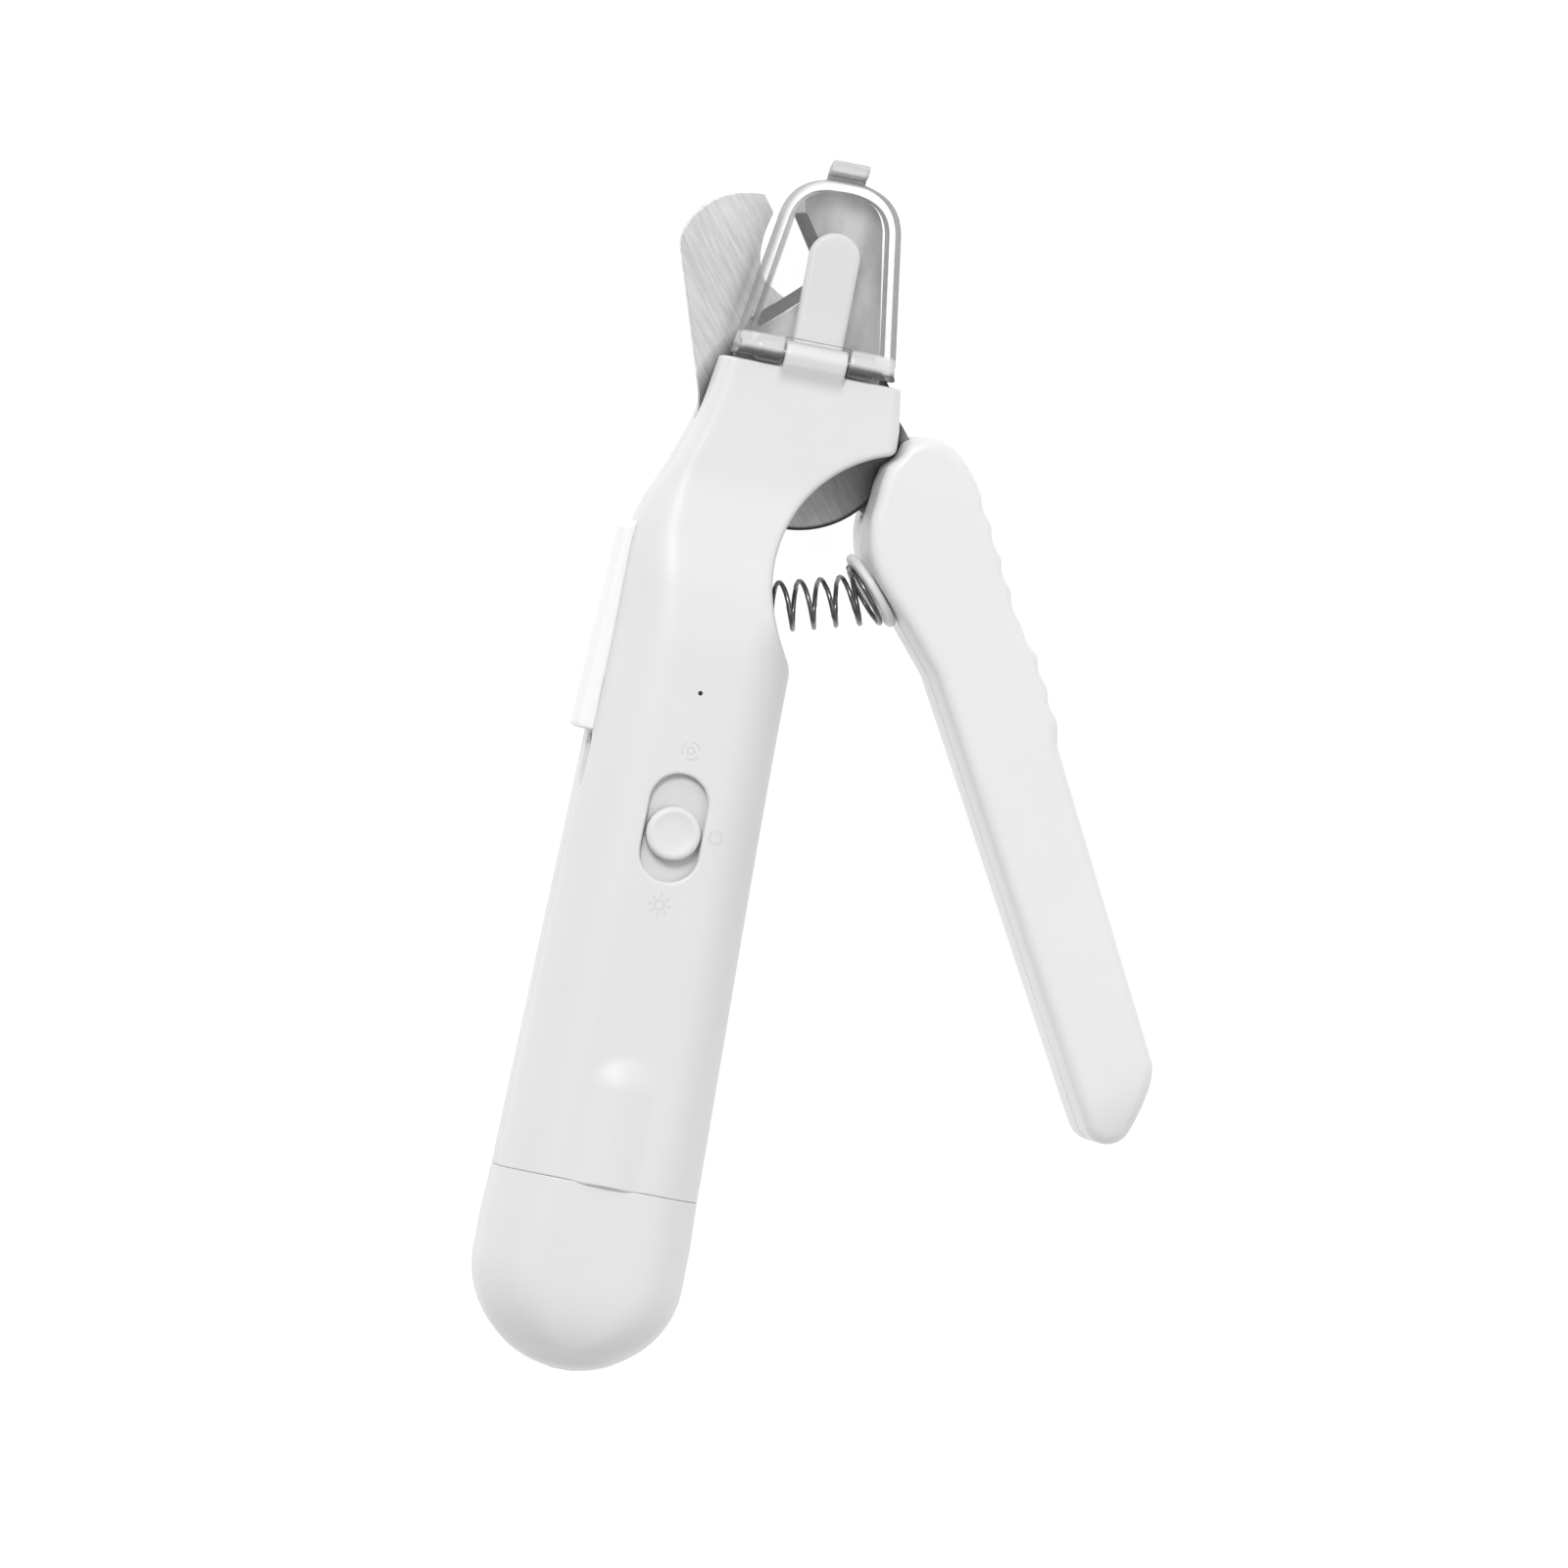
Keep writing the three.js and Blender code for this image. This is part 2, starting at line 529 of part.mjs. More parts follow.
function leverRear() {
  const { outer, hollow, tangSlot, headRelief, stem } = leverForm();
  const high = MID_Z - SEAM_GAP;
  const bosses = LEVER_SCREWS.map(([x, y], i) => post(x, y, 2.6, i < 2 ? 7.9 : high, 2.9, 14));
  const half = cut(outer, block([-20, -100, high], [80, 20, 40]), hollow, ...gripGrooves());
  return cut(joined(half, ...bosses), tangSlot, headRelief, stem,
    ...LEVER_SCREWS.map(([x, y]) => post(x, y, -1, 12, 1.25, 12)),
    ...LEVER_SCREWS.map(([x, y]) => post(x, y, -1, LEVER_Z0 + 2.6, 2.4, 14)));
}

function springCup() {
  return joined(bar(cupPoint(-0.6), cupPoint(0.4), 5.4, 32), bar(cupPoint(-5), cupPoint(0), 2.2, 16),
    bar(cupPoint(0), cupPoint(2.6), 2.2, 16));
}

// The coils of the return spring. Its middle line bends from the handle to the lever, and a
// last wider coil lies flat on the cup.
class SpringCurve extends THREE.Curve {
  getPoint(t, target = new THREE.Vector3()) {
    const { coil, lastCoil, turns, start } = SPRING;
    const middle = new THREE.CubicBezierCurve(
      ...SPRING_LINE.map(([x, y]) => new THREE.Vector2(x, y)));
    const count = (turns + 1) * t;
    const place = Math.min(count / turns, 1);
    const at = middle.getPointAt(place);
    const way = middle.getTangentAt(place);
    const turn = 2 * Math.PI * (start + count);
    const radius = coil + (lastCoil - coil) * THREE.MathUtils.smoothstep(place, 0.88, 1);
    const across = radius * Math.cos(turn);
    return target.set(at.x - across * way.y, at.y + across * way.x, MID_Z + radius * Math.sin(turn));
  }
}

// ---------------------------------------------------------------- clear cover
function coverShape() {
  const shape = new THREE.Shape();
  shape.moveTo(-11.1, 8.1);
  shape.lineTo(9.9, 8.1);
  shape.lineTo(7.1, 26.6);
  shape.bezierCurveTo(6.5, 30.4, 3.8, 32.3, -0.6, 32.3);
  shape.bezierCurveTo(-4.9, 32.3, -7.7, 30.6, -8.3, 26.6);
  shape.closePath();
  return shape;
}

function liftTab() {
  const profile = outline([[31.3, 15.9], [32.9, 16], [34, 17.2], [34.7, 19.6], [34, 20],
    [32.9, 18.9], [31.3, 18.8]]);
  const geometry = new THREE.ExtrudeGeometry(profile, { depth: 4.9, bevelEnabled: false });
  const basis = new THREE.Matrix4().makeBasis(Y_AXIS, Z_AXIS, X_AXIS).setPosition(-3.5, 0, 0);
  return solid(geometry.applyMatrix4(basis));
}

function clearCover() {
  const [floor, front, wall] = [FIXED_Z + BLADE + FIT, 19.4, 1.4];
  const { x, y, z, r, half, reach } = HINGE;
  const shell = cut(rounded(coverShape(), floor - 3, front, 1.3, 0, 3),
    rounded(coverShape(), floor - 5, front - 1.3, 0.5, wall, 1),
    block([-20, 0, 0], [20, 40, floor]),
    block([x - half - FIT, 7, 0], [x + half + FIT, y + r + FIT, 30]));
  const knuckles = [[-reach, -half - FIT], [half + FIT, reach]].map(([from, to]) =>
    bar([x + from, y, z], [x + to, y, z], r));
  const bore = bar([-12, y, z], [12, y, z], HINGE.pin + 0.1, 12);
  return cut(joined(shell, ...knuckles, liftTab()), bore);
}

function hingePin() {
  const { x, y, z, pin, reach } = HINGE;
  return bar([x - reach - 0.4, y, z], [x + reach + 0.4, y, z], pin, 12);
}

// ---------------------------------------------------------------- lamp
function lightGuideShape() {
  const { left, right, foot, top } = GUIDE;
  const r = (right - left) / 2;
  const shape = new THREE.Shape();
  shape.moveTo(left, foot);
  shape.lineTo(right, foot);
  shape.lineTo(right, top - r);
  shape.absarc((left + right) / 2, top - r, r, 0, Math.PI, false);
  shape.closePath();
  return shape;
}

// ---------------------------------------------------------------- tail: motor, drum and cap
function capRing(y, inset = 0) {
  const bulge = -46; // below this the cap closes as a dome
  const end = TAIL_Y + inset;
  const t = Math.min(Math.max((y - bulge) / (end - bulge), 0), 1);
  const close = (power) => Math.max(1 - t ** power, 0.0004) ** (1 / power);
  const half = (13.1 + 0.25 * Math.min((SEAM_Y - y) / 6, 1) - inset) * close(2);
  const depth = (MID_Z - inset) * close(3);
  return ring(y, -half, half, MID_Z - depth, MID_Z + depth, 6 + 4 * t - inset / 2, 8 - inset / 2);
}

function domeStations(mouth, end) {
  const bulge = -46;
  const turns = [0.28, 0.5, 0.7, 0.86, 0.96, 0.995, 1];
  return [mouth, mouth + (bulge - mouth) / 2, bulge, ...turns.map((t) => bulge + (end - bulge) * t)];
}

function tailCap() {
  const mouth = SEAM_Y - FIT;
  const outer = loft(domeStations(mouth, TAIL_Y).map((y) => capRing(y)).reverse());
  const inset = 1.8;
  const hollow = loft(domeStations(mouth, TAIL_Y + inset)
    .map((y, i) => capRing(y, inset).map((p) => p.setY(i === 0 ? mouth + 1 : y))).reverse());
  return cut(outer, hollow);
}

// The neck that the cap slides over, with the plate that the motor is held by.
function collar() {
  const neck = (y, inset) => ring(y, -10.8 + inset, 10.8 - inset, 2.3 + inset, 18.3 - inset,
    4.6 - inset / 2, 6.4 - inset / 2);
  const body = loft([neck(-41.4, 0.5), neck(-40.9, 0), neck(-31.2, 0)]);
  return cut(body, loft([neck(-42.4, 2), neck(-36.6, 2)]), bar([0, -60, MID_Z], [0, 0, MID_Z], 3.4));
}

const MOTOR = { top: -11.5, bottom: -30.8, r: 7.4 };

function motorCan() {
  const { top, bottom, r } = MOTOR;
  const can = bar([0, bottom, MID_Z], [0, top, MID_Z], r, 32);
  const room = bar([0, bottom + 0.8, MID_Z], [0, top + 1, MID_Z], r - 0.8, 32);
  return cut(can, room, bar([0, bottom - 5, MID_Z], [0, top, MID_Z], 1.8, 16));
}

function motorMagnet() {
  const { r } = MOTOR;
  const outer = r - 0.8 - FIT;
  return cut(bar([0, -27, MID_Z], [0, -15.4, MID_Z], outer, 24),
    bar([0, -40, MID_Z], [0, 0, MID_Z], 5.7, 24));
}

function motorEndCap() {
  const { top, r } = MOTOR;
  return cut(bar([0, top - 2, MID_Z], [0, top - 0.1, MID_Z], r - 0.8 - FIT, 32),
    bar([0, -40, MID_Z], [0, 0, MID_Z], 1.3, 12));
}

function motorBush() {
  return cut(bar([0, MOTOR.bottom, MID_Z], [0, MOTOR.bottom + 3, MID_Z], 1.5, 16),
    bar([0, -60, MID_Z], [0, 0, MID_Z], 1.1, 16));
}

const aboutSpindle = (profile, sides = 20) => turned(profile, Y_AXIS, [0, 0, MID_Z], sides);

// ---------------------------------------------------------------- electronics
function battery() {
  return turned([[0, -8.4], [4.7, -8.4], [5, -8.1], [5, 34.6], [4.7, 34.9], [1.8, 34.9], [1.8, 35.7],
    [0, 35.7]], Y_AXIS, [0, 0, 7.4]);
}

function socket() {
  const { y, z, length, height } = PORT;
  const mouth = -along(RIGHT_EDGE, y) + 0.35;
  const outer = block([mouth, y - length / 2, z - height / 2],
    [mouth + 5.4, y + length / 2, z + height / 2]);
  const room = block([mouth - 1, y - length / 2 + 0.35, z - height / 2 + 0.35],
    [mouth + 4.8, y + length / 2 - 0.35, z + height / 2 - 0.35]);
  const tongue = block([mouth + 1, y - 2.2, z - 0.35], [mouth + 5, y + 2.2, z + 0.35]);
  return joined(cut(outer, room), tongue);
}

function wire(name, material, points) {
  const curve = new THREE.CatmullRomCurve3(points.map((p) => new THREE.Vector3(...p)));
  return part(name, material, tube(curve, 0.45, 10, 5));
}

// ---------------------------------------------------------------- assembly
const handle = new THREE.Group();
handle.add(
  part("front_shell", WHITE, frontShell()),
  part("rear_shell", WHITE, rearShell()),
  part("side_grip", SOFT_WHITE, sideGrip()),
  part("battery_cell", CELL, battery()),
  part("main_board", BOARD, block([-8.4, -4.6, 13.9], [8.4, 33, 15])),
  part("slide_switch", STEEL, block([-2.2, SLOT.y - 5, 15.2], [2.2, SLOT.y + 5, 16.5])),
  part("charging_socket", STEEL, socket()),
  part("charge_indicator", LAMP, block([-1, 28.4, 15.2], [1, 30.4, 16])),
  part("motor_can", STEEL, motorCan()),
  part("motor_magnet", DARK_STEEL, motorMagnet()),
  part("motor_end_cap", BLACK, motorEndCap()),
  part("motor_bush", DARK_STEEL, motorBush()),
  part("grinder_collar", WHITE, collar()),
  ...SCREWS.map(([x, y], i) => screw(`body_screw_${i + 1}`, x, y, screwSeat(x, y) - 1.5 - 0.1, 15)),
  wire("battery_lead_red", RED,
    [[-0.6, 36.3, 7.4], [-4, 36.9, 8.6], [-6.2, 36.2, 12.4], [-6, 33.4, 14.4]]),
  wire("battery_lead_black", BLACK,
    [[-3, -9.1, 8.4], [-3.2, -9.3, 11], [-3.2, -8.4, 13.4], [-3.2, -5, 14.4]]),
  wire("motor_lead_red", RED, [[3, -11.2, 12.4], [3.2, -9.4, 13.4], [3, -7.4, 14.4], [3, -5, 14.4]]),
  wire("motor_lead_black", BLACK, [[0, -11.2, 13.4], [0, -9.2, 14.1], [0, -7.2, 14.4], [0, -5, 14.4]]),
);

// Rides with the slide switch: a round button on a plate that hides the slot.
const slider = new THREE.Group();
slider.position.set(0, PLATE.y, 0);
const buttonTop = MID_Z + along(HALF_DEPTH, SLOT.y) + 0.9;
slider.add(
  part("switch_button", WHITE, turned([[0, PLATE.top + FIT], [BUTTON_R, PLATE.top + FIT],
    [BUTTON_R, buttonTop - 0.5], [BUTTON_R - 0.5, buttonTop], [0, buttonTop]], Z_AXIS, [0, 0, 0], 28)),
  part("switch_plate", WHITE, joined(
    block([-4.6, -PLATE.half, PLATE.top - 0.7], [4.6, PLATE.half, PLATE.top]),
    block([-1.2, -1.2, 16.8], [1.2, 1.2, PLATE.top - 0.5]))),
);
handle.add(slider);

const spindle = new THREE.Group();
spindle.add(
  part("motor_shaft", STEEL, aboutSpindle([[0, -53.2], [0.9, -53.2], [1, -53], [1, -10], [0, -10]], 16)),
  part("motor_rotor", DARK_STEEL, cut(aboutSpindle([[0, -26.6], [5.4, -26.6], [5.4, -16], [0, -16]], 16),
    bar([0, -60, MID_Z], [0, 0, MID_Z], 1.3, 16))),
  part("grinding_drum", SOFT_WHITE, cut(
    aboutSpindle([[0, -54.6], [3.6, -54.6], [4.1, -54.2], [4.1, -42.8], [0, -42.8]]),
    bar([0, -53.6, MID_Z], [0, -40, MID_Z], 1.3, 12))),
  part("grit_sleeve", GRIT, cut(aboutSpindle([[0, -54.2], [5, -54.2], [5, -43.2], [0, -43.2]], 28),
    aboutSpindle([[0, -60], [4.1 + FIT, -60], [4.1 + FIT, -40], [0, -40]]))),
);
handle.add(spindle, part("tail_cap", WHITE, tailCap()));

const head = new THREE.Group();
head.position.set(PIVOT_X, PIVOT_Y, 0);
head.add(
  part("fixed_blade", STEEL, fixedBlade()),
  part("pivot_pin", STEEL, pivotPin()),
  part("pivot_washer", STEEL, washer(7.7, 8.05)),
  ...BLADE_SCREWS.map(([x, y], i) =>
    screw(`blade_screw_${i + 1}`, x, y, FIXED_Z + 0.05, 15.2, 1.9, 1)),
  part("light_guide", FROSTED, rounded(lightGuideShape(), 13, 15.6, 0.6, 0, 2)),
  part("lamp_board", BOARD, block([-4, 3.1, 13.9], [4, 3.9, 15.6])),
  part("lamp", LAMP, block([-1.4, 4.05, 13.7], [1.4, 4.95, 15.5])),
  part("hinge_pin", STEEL, hingePin()),
  part("clear_cover", CLEAR, clearCover()),
  part("return_spring", DARK_STEEL, tube(new SpringCurve(), SPRING.wire, 84, 4)),
  wire("lamp_lead_red", RED, [[-2.9, 2.8, 15.2], [-3.2, -6, 14.9], [-8, -14, 14.4],
    [-14.9, -23.6, 14.4], [-12.4, -31.7, 14.4]]),
  wire("lamp_lead_black", BLACK, [[2.9, 2.8, 15.2], [-1.2, -7, 14.9], [-6.4, -15, 14.4],
    [-13.7, -24.2, 14.4], [-10.6, -31.7, 14.4]]),
);

const lever = new THREE.Group();
lever.add(
  part("moving_blade", STEEL, movingBlade()),
  part("lever_front_shell", WHITE, leverFront()),
  part("lever_rear_shell", WHITE, leverRear()),
  part("spring_cup", WHITE, springCup()),
  ...LEVER_SCREWS.map(([x, y], i) => screw(`lever_screw_${i + 1}`, x, y, LEVER_Z0 + 1, 15)),
);
head.add(lever);

const clipper = new THREE.Group();
clipper.add(handle, head);

export default clipper;
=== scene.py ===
# Electric pet nail clipper and grinder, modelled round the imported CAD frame. Shapes are written in
# millimetres in the frame of the part, and turned into metres when a mesh is made.
import bisect
import itertools
import math
import random

import bpy
import numpy as np
from mathutils import Matrix, Vector


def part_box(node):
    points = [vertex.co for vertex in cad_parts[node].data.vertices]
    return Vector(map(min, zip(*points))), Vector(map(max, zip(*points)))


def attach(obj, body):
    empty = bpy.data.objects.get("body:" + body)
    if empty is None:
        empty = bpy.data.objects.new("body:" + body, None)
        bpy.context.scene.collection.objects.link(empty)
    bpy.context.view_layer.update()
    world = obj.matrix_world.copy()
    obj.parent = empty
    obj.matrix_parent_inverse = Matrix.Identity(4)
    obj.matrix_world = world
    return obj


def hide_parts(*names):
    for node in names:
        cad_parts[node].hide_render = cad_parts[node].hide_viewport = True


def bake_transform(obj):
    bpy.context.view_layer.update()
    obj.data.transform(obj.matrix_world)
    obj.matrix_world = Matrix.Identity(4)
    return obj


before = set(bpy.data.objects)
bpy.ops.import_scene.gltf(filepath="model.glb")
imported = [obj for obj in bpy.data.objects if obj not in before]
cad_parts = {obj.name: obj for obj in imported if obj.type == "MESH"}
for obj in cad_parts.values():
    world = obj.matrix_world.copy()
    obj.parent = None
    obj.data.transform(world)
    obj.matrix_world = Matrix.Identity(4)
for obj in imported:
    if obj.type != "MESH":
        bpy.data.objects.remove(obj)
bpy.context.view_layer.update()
scene = bpy.context.scene
MM = 0.001

# -------- sizes shared with the CAD
MID_Z = 10.3
SEAM_Y = -34.8
TAIL_Y = -59  # the lowest point of the cap
PIVOT = (7.4, 65)
HEAD_TOP_Y = PIVOT[1] + 7.5
WALL, CAP_WALL = 2, 1.8
SHELL_GAP = 0.15  # from each half's edge to the middle plane
MOVING_Z, FIXED_Z, BLADE = 8.2, 10.4, 2  # rear faces of the blades, and their thickness
NOTCH = (PIVOT[0] + 16.5, PIVOT[1] - 17.8, 17.4)  # middle and radius of the hollow under the head
HINGE_X, HINGE_Y, HINGE_Z = -0.75, 9.3, 18  # from the pivot
HINGE_R, HINGE_HALF, HINGE_REACH = 1.6, 4.05, 7.7
GUIDE_LEFT, GUIDE_RIGHT, GUIDE_FOOT, GUIDE_TOP = -3.6, 2.9, 5.2, 25.6  # from the pivot
RIB_R, RIB_HEIGHT, RIB_TOP = 5.6, 0.8, -22.4  # thumb rib above the cap
SLOT_Y, SLOT_LENGTH, SLOT_R = 11.85, 13.9, 3.8
BUTTON_Y, BUTTON_R = SLOT_Y - 0.7, 3.5
INDICATOR_Y = 29.4
PLATE_HALF, PLATE_TRAVEL, PLATE_TOP = 10.4, 3.6, 19.2
PORT_Y, PORT_Z, PORT_LENGTH, PORT_HEIGHT = 18.6, 12.3, 7.2, 2.8
LEVER_Z0, LEVER_Z1 = MID_Z - 9, MID_Z + 9
LEFT_EDGE = [(-35.3, -13.1), (34, -11.75), (46, -11.6), (49.5, -11.3), (52.5, -10.5),
             (56, -9), (60, -7.4), (65, -5.9), (72.5, -4.7)]
RIGHT_EDGE = [(-35.3, 13.1), (34, 11.75), (44, 15), (62, 19.5), (66, 19.4), (72.5, 18.5)]
HALF_DEPTH = [(-35.3, 10.3), (34, 10.3), (42, 9.8), (50, 8.5), (58, 7.5), (72.5, 7.5)]
FRONT_CORNER = [(-35.3, 8), (34, 8), (50, 5), (60, 2), (72.5, 1.8)]
REAR_CORNER = [(-35.3, 6), (34, 6), (50, 5), (60, 3.2), (72.5, 3)]
BODY_SCREWS = [(-3.2, 41), (-6.2, 55.4), (-8.3, -8.7), (8.3, -8.7)]
LEVER_SCREWS = [(18.3, -6), (21.6, -13.4), (50.6, -69)]  # from the pivot
SPRING_LINE = [(-4, -24.1), (2, -22.7), (10.8, -20.5), (12.3, -19.2)]  # from the pivot
SPRING_COIL, SPRING_LAST, SPRING_WIRE = 3.05, 4.1, 0.32
SPRING_TURNS, SPRING_START = 6.25, -0.25
GRIP_X, GRIP_Y, GRIP_HEADING = 26, -8, math.radians(-62.1)  # outer edge of the lever
SWELL_FROM, SWELL_TO, SWELL = 12.5, 29.5, 0.9
GROOVES, GROOVE_PITCH, GROOVE_R, GROOVE_DEPTH = 7, 4.4, 2.4, 0.35
SLIT = 0.3  # clearance round a fitted piece
SEAM_EDGE, SEAM_SPACE = 0.1, 0.04  # rounding of the edges that meet at the cap's seam, and its gap
SEAM_ROWS = [0.05, 0.1, 0.18, 0.3]  # extra mesh rows beside a sharp rim


# -------- distance fields
# A field gives each point's distance to a surface, negative inside the material.
def both(a, b, r=0.0):
    """Inside a and b, with the edge between them rounded to radius r."""
    if np.ndim(r) == 0 and r == 0:
        return np.maximum(a, b)
    return np.minimum(np.maximum(a, b), -r) + np.hypot(np.maximum(a + r, 0), np.maximum(b + r, 0))


def less(a, b, r=0.0):
    return both(a, -b, r)


def plus(a, b, r=0.0):
    return -both(-a, -b, r)


def disc(x, y, cx, cy, radius):
    return np.hypot(x - cx, y - cy) - radius


def slab(v, low, high):
    return np.abs(v - (low + high) / 2) - (high - low) / 2


def box(x, y, z, low, high, r=0.0):
    q = [slab(v, lo, hi) + r for v, lo, hi in zip((x, y, z), low, high)]
    outside = np.sqrt(sum(np.maximum(v, 0) ** 2 for v in q))
    return outside + np.minimum(np.maximum(np.maximum(q[0], q[1]), q[2]), 0) - r


def rod(x, y, z, a, b, radius):
    """A round bar from a to b with flat ends."""
    way = np.array(b, float) - a
    length = np.linalg.norm(way)
    way /= length
    px, py, pz = x - a[0], y - a[1], z - a[2]
    t = px * way[0] + py * way[1] + pz * way[2]
    out = np.sqrt(np.maximum(px ** 2 + py ** 2 + pz ** 2 - t ** 2, 0)) - radius
    return both(out, slab(t, 0, length))


def stadium(x, y, cx, cy, radius, run):
    """A round-ended slot along y, with run between the centres of its ends."""
    return np.hypot(x - cx, y - np.clip(y, cy - run / 2, cy + run / 2)) - radius


def outline(x, y, points):
    """Distance to a closed outline. A 3-D grid is measured on one layer."""
    if np.ndim(x) == 3:
        return outline(x[:, :, 0], y[:, :, 0], points)[:, :, None]
    nearest = np.full(np.shape(x), 1e9)
    sign = np.ones(np.shape(x))
    for (ax, ay), (bx, by) in zip(points, points[1:] + points[:1]):
        ex, ey = bx - ax, by - ay
        wx, wy = x - ax, y - ay
        t = np.clip((wx * ex + wy * ey) / (ex * ex + ey * ey), 0, 1)
        nearest = np.minimum(nearest, (wx - ex * t) ** 2 + (wy - ey * t) ** 2)
        above, below, left = y >= ay, y < by, ex * wy > ey * wx
        sign[(above & below & left) | ~(above | below | left)] *= -1
    return sign * np.sqrt(nearest)


def side_outline(y, z, points):
    """Distance to a closed outline in the plane of y and z."""
    if np.ndim(y) == 3:
        return side_outline(y[0], z[0], points)[None]
    return outline(y, z, points)


def from_pivot(x, y):
    return x - PIVOT[0], y - PIVOT[1]


def along(pairs, y):
    """Smooth value at y through (y, value) pairs, never beyond its neighbours."""
    at, value = np.array(pairs, float).T
    slope = np.diff(value) / np.diff(at)
    tangent = np.concatenate([slope[:1], np.zeros(len(at) - 2), slope[-1:]])
    a, b = slope[:-1], slope[1:]
    same = a * b > 0
    tangent[1:-1][same] = 2 * a[same] * b[same] / (a + b)[same]
    y = np.clip(y, at[0], at[-1])
    i = np.clip(np.searchsorted(at, y, "right") - 1, 0, len(at) - 2)
    span = at[i + 1] - at[i]
    t = (y - at[i]) / span
    return ((2 * t ** 3 - 3 * t ** 2 + 1) * value[i] + (t ** 3 - 2 * t ** 2 + t) * span * tangent[i]
            + (3 * t ** 2 - 2 * t ** 3) * value[i + 1] + (t ** 3 - t ** 2) * span * tangent[i + 1])


# -------- meshes
CORNERS = list(itertools.product((0, 1), repeat=3))
EDGES = [(a, b) for a, b in itertools.combinations(range(8), 2)
         if sum(abs(p - q) for p, q in zip(CORNERS[a], CORNERS[b])) == 1]


def new_object(name, vertices, faces, smooth=True):
    mesh = bpy.data.meshes.new(name)
    mesh.from_pydata((np.asarray(vertices, float) * MM).tolist(), [], faces)
    mesh.update()
    mesh.polygons.foreach_set("use_smooth", [smooth] * len(mesh.polygons))
    made = bpy.data.objects.new(name, mesh)
    scene.collection.objects.link(made)
    return made


def slope_of(field, points):
    """The field's gradient at each point."""
    step = 0.02
    sides = []
    for axis in np.eye(3) * step:
        ahead, behind = (field(*(points + sign * axis).T) for sign in (1, -1))
        sides.append((ahead - behind) / (2 * step))
    return np.stack(sides, 1)


def mould(name, field, low, high, cell, rows=()):
    """The surface of a field as one smooth mesh of quads, each vertex moved onto the surface.
    The grid is one cell wide, with more rows along y at the places in rows."""
    axes = [np.arange(low[k] - 1.5 * cell, high[k] + 2.5 * cell, cell) for k in range(3)]
    axes[1] = np.union1d(axes[1], rows)
    shape = np.array([len(axis) for axis in axes])
    depth = np.broadcast_to(field(*np.meshgrid(*axes, indexing="ij")), shape)
    solid = depth < 0
    filled = sum(solid[tuple(slice(o, n - 1 + o) for o, n in zip(c, shape))].astype(np.int8)
                 for c in CORNERS)
    cells = np.argwhere((filled > 0) & (filled < 8))
    number = np.full(shape - 1, -1)
    number[tuple(cells.T)] = np.arange(len(cells))
    at_corner = [depth[tuple((cells + c).T)] for c in CORNERS]
    total = np.zeros((len(cells), 3))
    count = np.zeros(len(cells))
    for a, b in EDGES:
        da, db = at_corner[a], at_corner[b]
        crossed = (da < 0) != (db < 0)
        t = np.where(crossed, da / np.where(crossed, da - db, 1), 0)[:, None]
        spot = np.array(CORNERS[a]) + t * (np.array(CORNERS[b]) - CORNERS[a])
        total += np.where(crossed[:, None], spot, 0)
        count += crossed
    place = cells + total / count[:, None]
    points = np.stack([np.interp(place[:, k], range(shape[k]), axes[k]) for k in range(3)], 1)
    for _ in range(4):
        gradient = slope_of(field, points)
        size = np.maximum((gradient ** 2).sum(1), 0.2)
        move = np.clip(field(*points.T), -cell / 2, cell / 2) / size
        points = points - move[:, None] * gradient
    faces = []
    for k in range(3):
        u, v = (k + 1) % 3, (k + 2) % 3
        ahead = np.take(solid, range(1, shape[k]), k)
        behind = np.take(solid, range(shape[k] - 1), k)
        crossing = np.argwhere(ahead != behind)
        crossing = crossing[(crossing[:, u] > 0) & (crossing[:, v] > 0)]
        ring = []
        for du, dv in ((1, 1), (0, 1), (0, 0), (1, 0)):
            place = crossing.copy()
            place[:, u] -= du
            place[:, v] -= dv
            ring.append(number[tuple(place.T)])
        quads = np.stack(ring, 1)
        outward = behind[tuple(crossing.T)]
        faces += np.where(outward[:, None], quads, quads[:, ::-1]).tolist()
    return new_object(name, points, faces)


def turned(name, profile, sides):
    """A piece turned about the z axis, its profile (radius, height) pairs from axis to axis."""
    vertices, faces = [], []
    rows = []
    for r, h in profile:
        count = 1 if r == 0 else sides
        rows.append(list(range(len(vertices), len(vertices) + count)))
        vertices += [(r * math.cos(t), r * math.sin(t), h)
                     for t in (2 * math.pi * i / sides for i in range(count))]
    for lower, upper in zip(rows, rows[1:]):
        for i in range(sides):
            j = (i + 1) % sides
            ring = [lower[i % len(lower)], lower[j % len(lower)], upper[j % len(upper)],
                    upper[i % len(upper)]]
            faces.append(list(dict.fromkeys(ring)))
    return new_object(name, vertices, faces)


def tube(name, points, radius, sides):
    """A wire along points, with its ends closed."""
    points = np.array(points, float)
    way = np.gradient(points, axis=0)
    way /= np.linalg.norm(way, axis=1)[:, None]
    side = np.cross(way, (0, 0, 1.0))
    side /= np.linalg.norm(side, axis=1)[:, None]
    up = np.cross(side, way)
    vertices = []
    for p, s, u in zip(points, side, up):
        vertices += [p + radius * (s * math.cos(t) + u * math.sin(t))
                     for t in (2 * math.pi * i / sides for i in range(sides))]
    last = (len(points) - 1) * sides
    faces = [[i * sides + j, (i + 1) * sides + j, (i + 1) * sides + (j + 1) % sides,
              i * sides + (j + 1) % sides] for i in range(len(points) - 1) for j in range(sides)]
    faces += [list(range(sides)), [last + j for j in reversed(range(sides))]]
    return new_object(name, vertices, faces)


